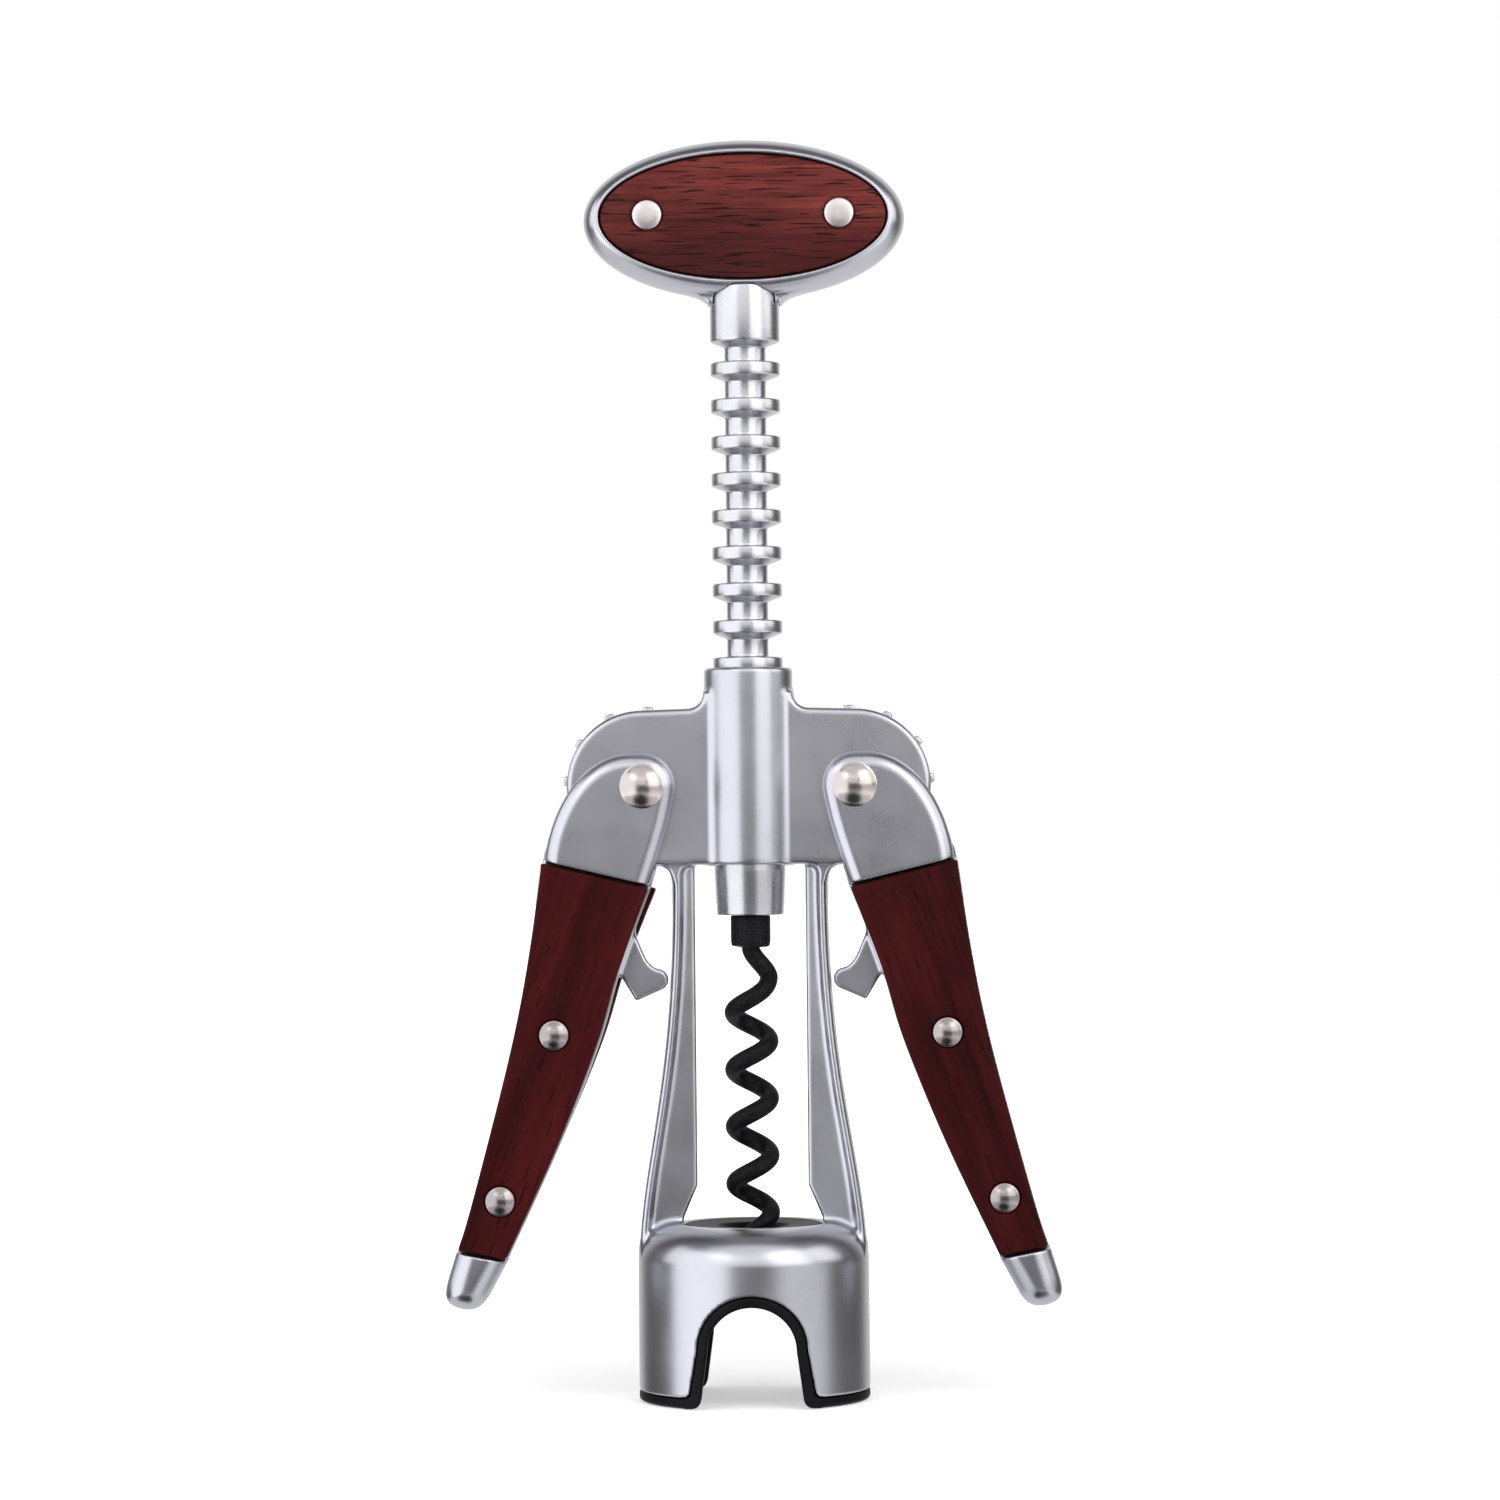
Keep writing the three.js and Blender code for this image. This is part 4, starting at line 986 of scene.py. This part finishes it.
def build_worm():
    low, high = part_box("worm")
    top, foot = high.z / MM, low.z / MM + 0.25
    heights = np.linspace(top, foot, 620)
    centres = np.array([worm_centre(z) for z in heights])
    along = np.gradient(centres, axis=0)
    along /= np.linalg.norm(along, axis=1, keepdims=True)
    sides = 28
    turns = np.arange(sides) * 2 * math.pi / sides
    across = np.array([1.0, 0.0, 0.0])
    points = []
    for centre, forward, z in zip(centres, along, heights):
        across = across - forward * across.dot(forward)
        across /= np.linalg.norm(across)
        other = np.cross(forward, across)
        left = max(z - foot, 0.0)
        r = WIRE_R * min(1.0, 0.12 + 0.88 * math.sqrt(left / 2.6))
        points += [centre + r * (math.cos(a) * across + math.sin(a) * other) for a in turns]
    rows = len(heights)
    faces = []
    for row in range(rows - 1):
        for k in range(sides):
            n = (k + 1) % sides
            faces.append([row * sides + k, row * sides + n, (row + 1) * sides + n, (row + 1) * sides + k])
    faces.append(list(range(sides))[::-1])
    faces.append([(rows - 1) * sides + k for k in range(sides)])
    mesh = bpy.data.meshes.new("worm_fine")
    mesh.from_pydata([Vector(p) * MM for p in points], [], faces)
    mesh.update()
    mesh.shade_smooth()
    mesh.set_sharp_from_angle(angle=math.radians(50))
    piece = bpy.data.objects.new("worm_fine", mesh)
    bpy.context.scene.collection.objects.link(piece)
    return stand_for(piece, "worm", COATING)


# ---- the object ---------------------------------------------------------------------------

build_frame_casting()
build_liner()
for word, side in (("left", -1), ("right", 1)):
    build_lever_casting(word, side)
    build_lever_scale(word, side, -1)
    build_lever_scale(word, side, 1)
    build_pin(f"pivot_pin_{word}", NICKEL, 2.0, 3.45, 1.3, LEVER_HALF + 0.1, side * PIVOT_X, PIVOT_Z, 64)
    for place, (x, z) in RIVET_SPOTS.items():
        build_pin(f"lever_{word}_rivet_{place}", DULL, 1.2, 2.25, 0.8, SCALE_FACE + 0.1, side * x, z)
    build_flat_rivet(f"handle_rivet_{word}", 1.2, 2.3, 0.45, HANDLE_SCALE_FACE + 0.1, side * HANDLE_RIVET_X, HANDLE_RIVET_Z)
build_handle_body()
build_handle_scale(-1)
build_handle_scale(1)
build_rack_shaft()
build_collar()
build_hub()
build_worm()
build_cross_pin()


# ---- stage --------------------------------------------------------------------------------


def build_floor():
    """A plain white floor. Its glow grows with distance, so that it has no visible horizon."""
    reach = 4.0
    mesh = bpy.data.meshes.new("floor")
    corners = [(-reach, -1.5, 0), (reach, -1.5, 0), (reach, reach, 0), (-reach, reach, 0)]
    mesh.from_pydata(corners, [], [(0, 1, 2, 3)])
    n = Nodes("pale_floor")
    where = n.add("ShaderNodeTexCoord").outputs["Object"]
    away = n.add("ShaderNodeVectorMath", {0: where}, operation="LENGTH").outputs["Value"]
    cloud = n.noise(n.place(), 0.004, 2)
    colour = n.mix(n.span(cloud, 0.3, 0.7, 0, 1), (0.90, 0.90, 0.90), (0.93, 0.93, 0.93))
    glow = n.span(away, 0.06, 0.35, 0.45, 1.2)
    mesh.materials.append(n.finish(Base_Color=colour, Roughness=0.9, Specular_IOR_Level=0.0,
                                   Emission_Color=(1, 1, 1, 1), Emission_Strength=glow))
    # Mirror reflections look through the floor to the studio, as they would past a glass table.
    clear = n.add("ShaderNodeBsdfTransparent")
    path = n.add("ShaderNodeLightPath")
    mixed = n.add("ShaderNodeMixShader")
    n.put(mixed, 0, path.outputs["Is Glossy Ray"])
    n.tree.links.new(n.shader.outputs[0], mixed.inputs[1])
    n.tree.links.new(clear.outputs[0], mixed.inputs[2])
    n.tree.links.new(mixed.outputs[0], n.tree.nodes["Material Output"].inputs["Surface"])
    floor = bpy.data.objects.new("floor", mesh)
    bpy.context.scene.collection.objects.link(floor)


def soft_box(name, place, target, size, radiance, colour=(1, 1, 1)):
    """A rectangular soft light of a given brightness, turned towards a target."""
    data = bpy.data.lights.new(name, "AREA")
    data.shape = "RECTANGLE"
    data.size, data.size_y = size
    data.energy = radiance * math.pi * size[0] * size[1]
    data.color = colour
    lamp = bpy.data.objects.new(name, data)
    lamp.location = place
    lamp.rotation_euler = (Vector(target) - Vector(place)).to_track_quat("-Z", "Y").to_euler()
    bpy.context.scene.collection.objects.link(lamp)
    return lamp


def side_box(name, azimuth_deg, distance, low, high, width, radiance, colour=(1, 1, 1)):
    """An upright soft box at an angle from the camera's side, from one height to another."""
    a = math.radians(azimuth_deg)
    middle = (low + high) / 2
    place = (distance * math.sin(a), -distance * math.cos(a), middle)
    return soft_box(name, place, (0, 0, middle), (width, high - low), radiance, colour)


def build_lights():
    side_box("left_box", -54, 0.65, -0.25, 0.65, 0.80, 1.5, (0.97, 0.975, 1.0))
    side_box("right_box", 40, 0.55, 0.085, 0.65, 0.44, 1.9)
    side_box("low_right_box", 52, 0.60, -0.30, 0.06, 0.62, 0.75)
    side_box("right_side_box", 82, 0.60, 0.14, 0.65, 0.35, 1.5)
    side_box("left_side_box", -97, 0.60, 0.10, 0.60, 0.22, 1.4)
    side_box("front_box", -4, 0.95, 0.16, 0.62, 0.60, 1.0)
    soft_box("top_box", (0, -0.6, 0.77), (0, 0, 0.1), (1.4, 0.8), 0.9)


def build_world():
    """White behind the object, dark at its sides, dim round the camera, pale below."""
    world = bpy.data.worlds.new("studio")
    world.use_nodes = True
    tree = world.node_tree
    tree.nodes.clear()

    def add(kind, inputs=None, **settings):
        node = tree.nodes.new(kind)
        for key, value in settings.items():
            setattr(node, key, value)
        for key, value in (inputs or {}).items():
            if isinstance(value, bpy.types.NodeSocket):
                tree.links.new(value, node.inputs[key])
            else:
                node.inputs[key].default_value = value
        return node

    towards = add("ShaderNodeTexCoord").outputs["Generated"]
    split = add("ShaderNodeSeparateXYZ", {0: towards})
    up = add("ShaderNodeMath", {0: split.outputs["Z"], 1: 0.0}, operation="MAXIMUM").outputs[0]
    behind = add("ShaderNodeMath", {0: up, 1: 0.3, 2: split.outputs["Y"]}, operation="MULTIPLY_ADD").outputs[0]
    share = add("ShaderNodeMapRange", {"Value": behind, "From Min": -1.0, "From Max": 1.0}).outputs[0]
    ramp = add("ShaderNodeValToRGB", {"Fac": share})
    stops = [(0.0, 0.10), (0.35, 0.12), (0.85, 0.13), (0.95, 0.85), (1.0, 0.95)]
    for _ in stops[2:]:
        ramp.color_ramp.elements.new(0.5)
    for element, (at, level) in zip(ramp.color_ramp.elements, stops):
        element.position = at
        element.color = (level, level, level, 1)
    below = add("ShaderNodeMapRange", {"Value": split.outputs["Z"], "From Min": -0.25, "From Max": -0.5}).outputs[0]
    low_front = (-0.08, -0.62, -0.78)
    apart = add("ShaderNodeVectorMath", {0: towards, 1: low_front}, operation="DISTANCE").outputs["Value"]
    pale = add("ShaderNodeMapRange", {"Value": apart, "From Min": 0.34, "From Max": 0.5, "To Min": 0.02,
                                      "To Max": 0.9}).outputs[0]
    level = add("ShaderNodeMix", {0: below, 2: ramp.outputs["Color"], 3: pale}).outputs[0]
    shade = add("ShaderNodeBackground", {"Color": level})
    seen = add("ShaderNodeBackground", {"Color": (1, 1, 1, 1)})
    path = add("ShaderNodeLightPath")
    mix = add("ShaderNodeMixShader", {0: path.outputs["Is Camera Ray"], 1: shade.outputs[0], 2: seen.outputs[0]})
    output = add("ShaderNodeOutputWorld")
    tree.links.new(mix.outputs[0], output.inputs["Surface"])
    bpy.context.scene.world = world
    bpy.context.scene.view_settings.view_transform = "Standard"


def build_camera():
    """Level, a little below the middle of the picture, slightly to the right and rolled a little."""
    distance, half_width = 0.82, 0.117
    eye_z, middle_z = 0.093, 0.1012
    yaw, roll = math.radians(1.5), math.radians(0.56)
    data = bpy.data.cameras.new("camera")
    data.sensor_width = 36
    data.lens = 18 * distance / half_width
    data.shift_y = (middle_z - eye_z) / (2 * half_width)
    data.clip_start = 0.01
    camera = bpy.data.objects.new("camera", data)
    turn = Matrix.Rotation(yaw, 4, "Z") @ Matrix.Rotation(math.pi / 2, 4, "X") @ Matrix.Rotation(-roll, 4, "Z")
    place = Vector((0.0001, 0, eye_z)) + Vector((math.sin(yaw), -math.cos(yaw), 0)) * distance
    camera.matrix_world = Matrix.Translation(place) @ turn
    bpy.context.scene.collection.objects.link(camera)
    bpy.context.scene.camera = camera


build_floor()
build_lights()
build_world()
build_camera()
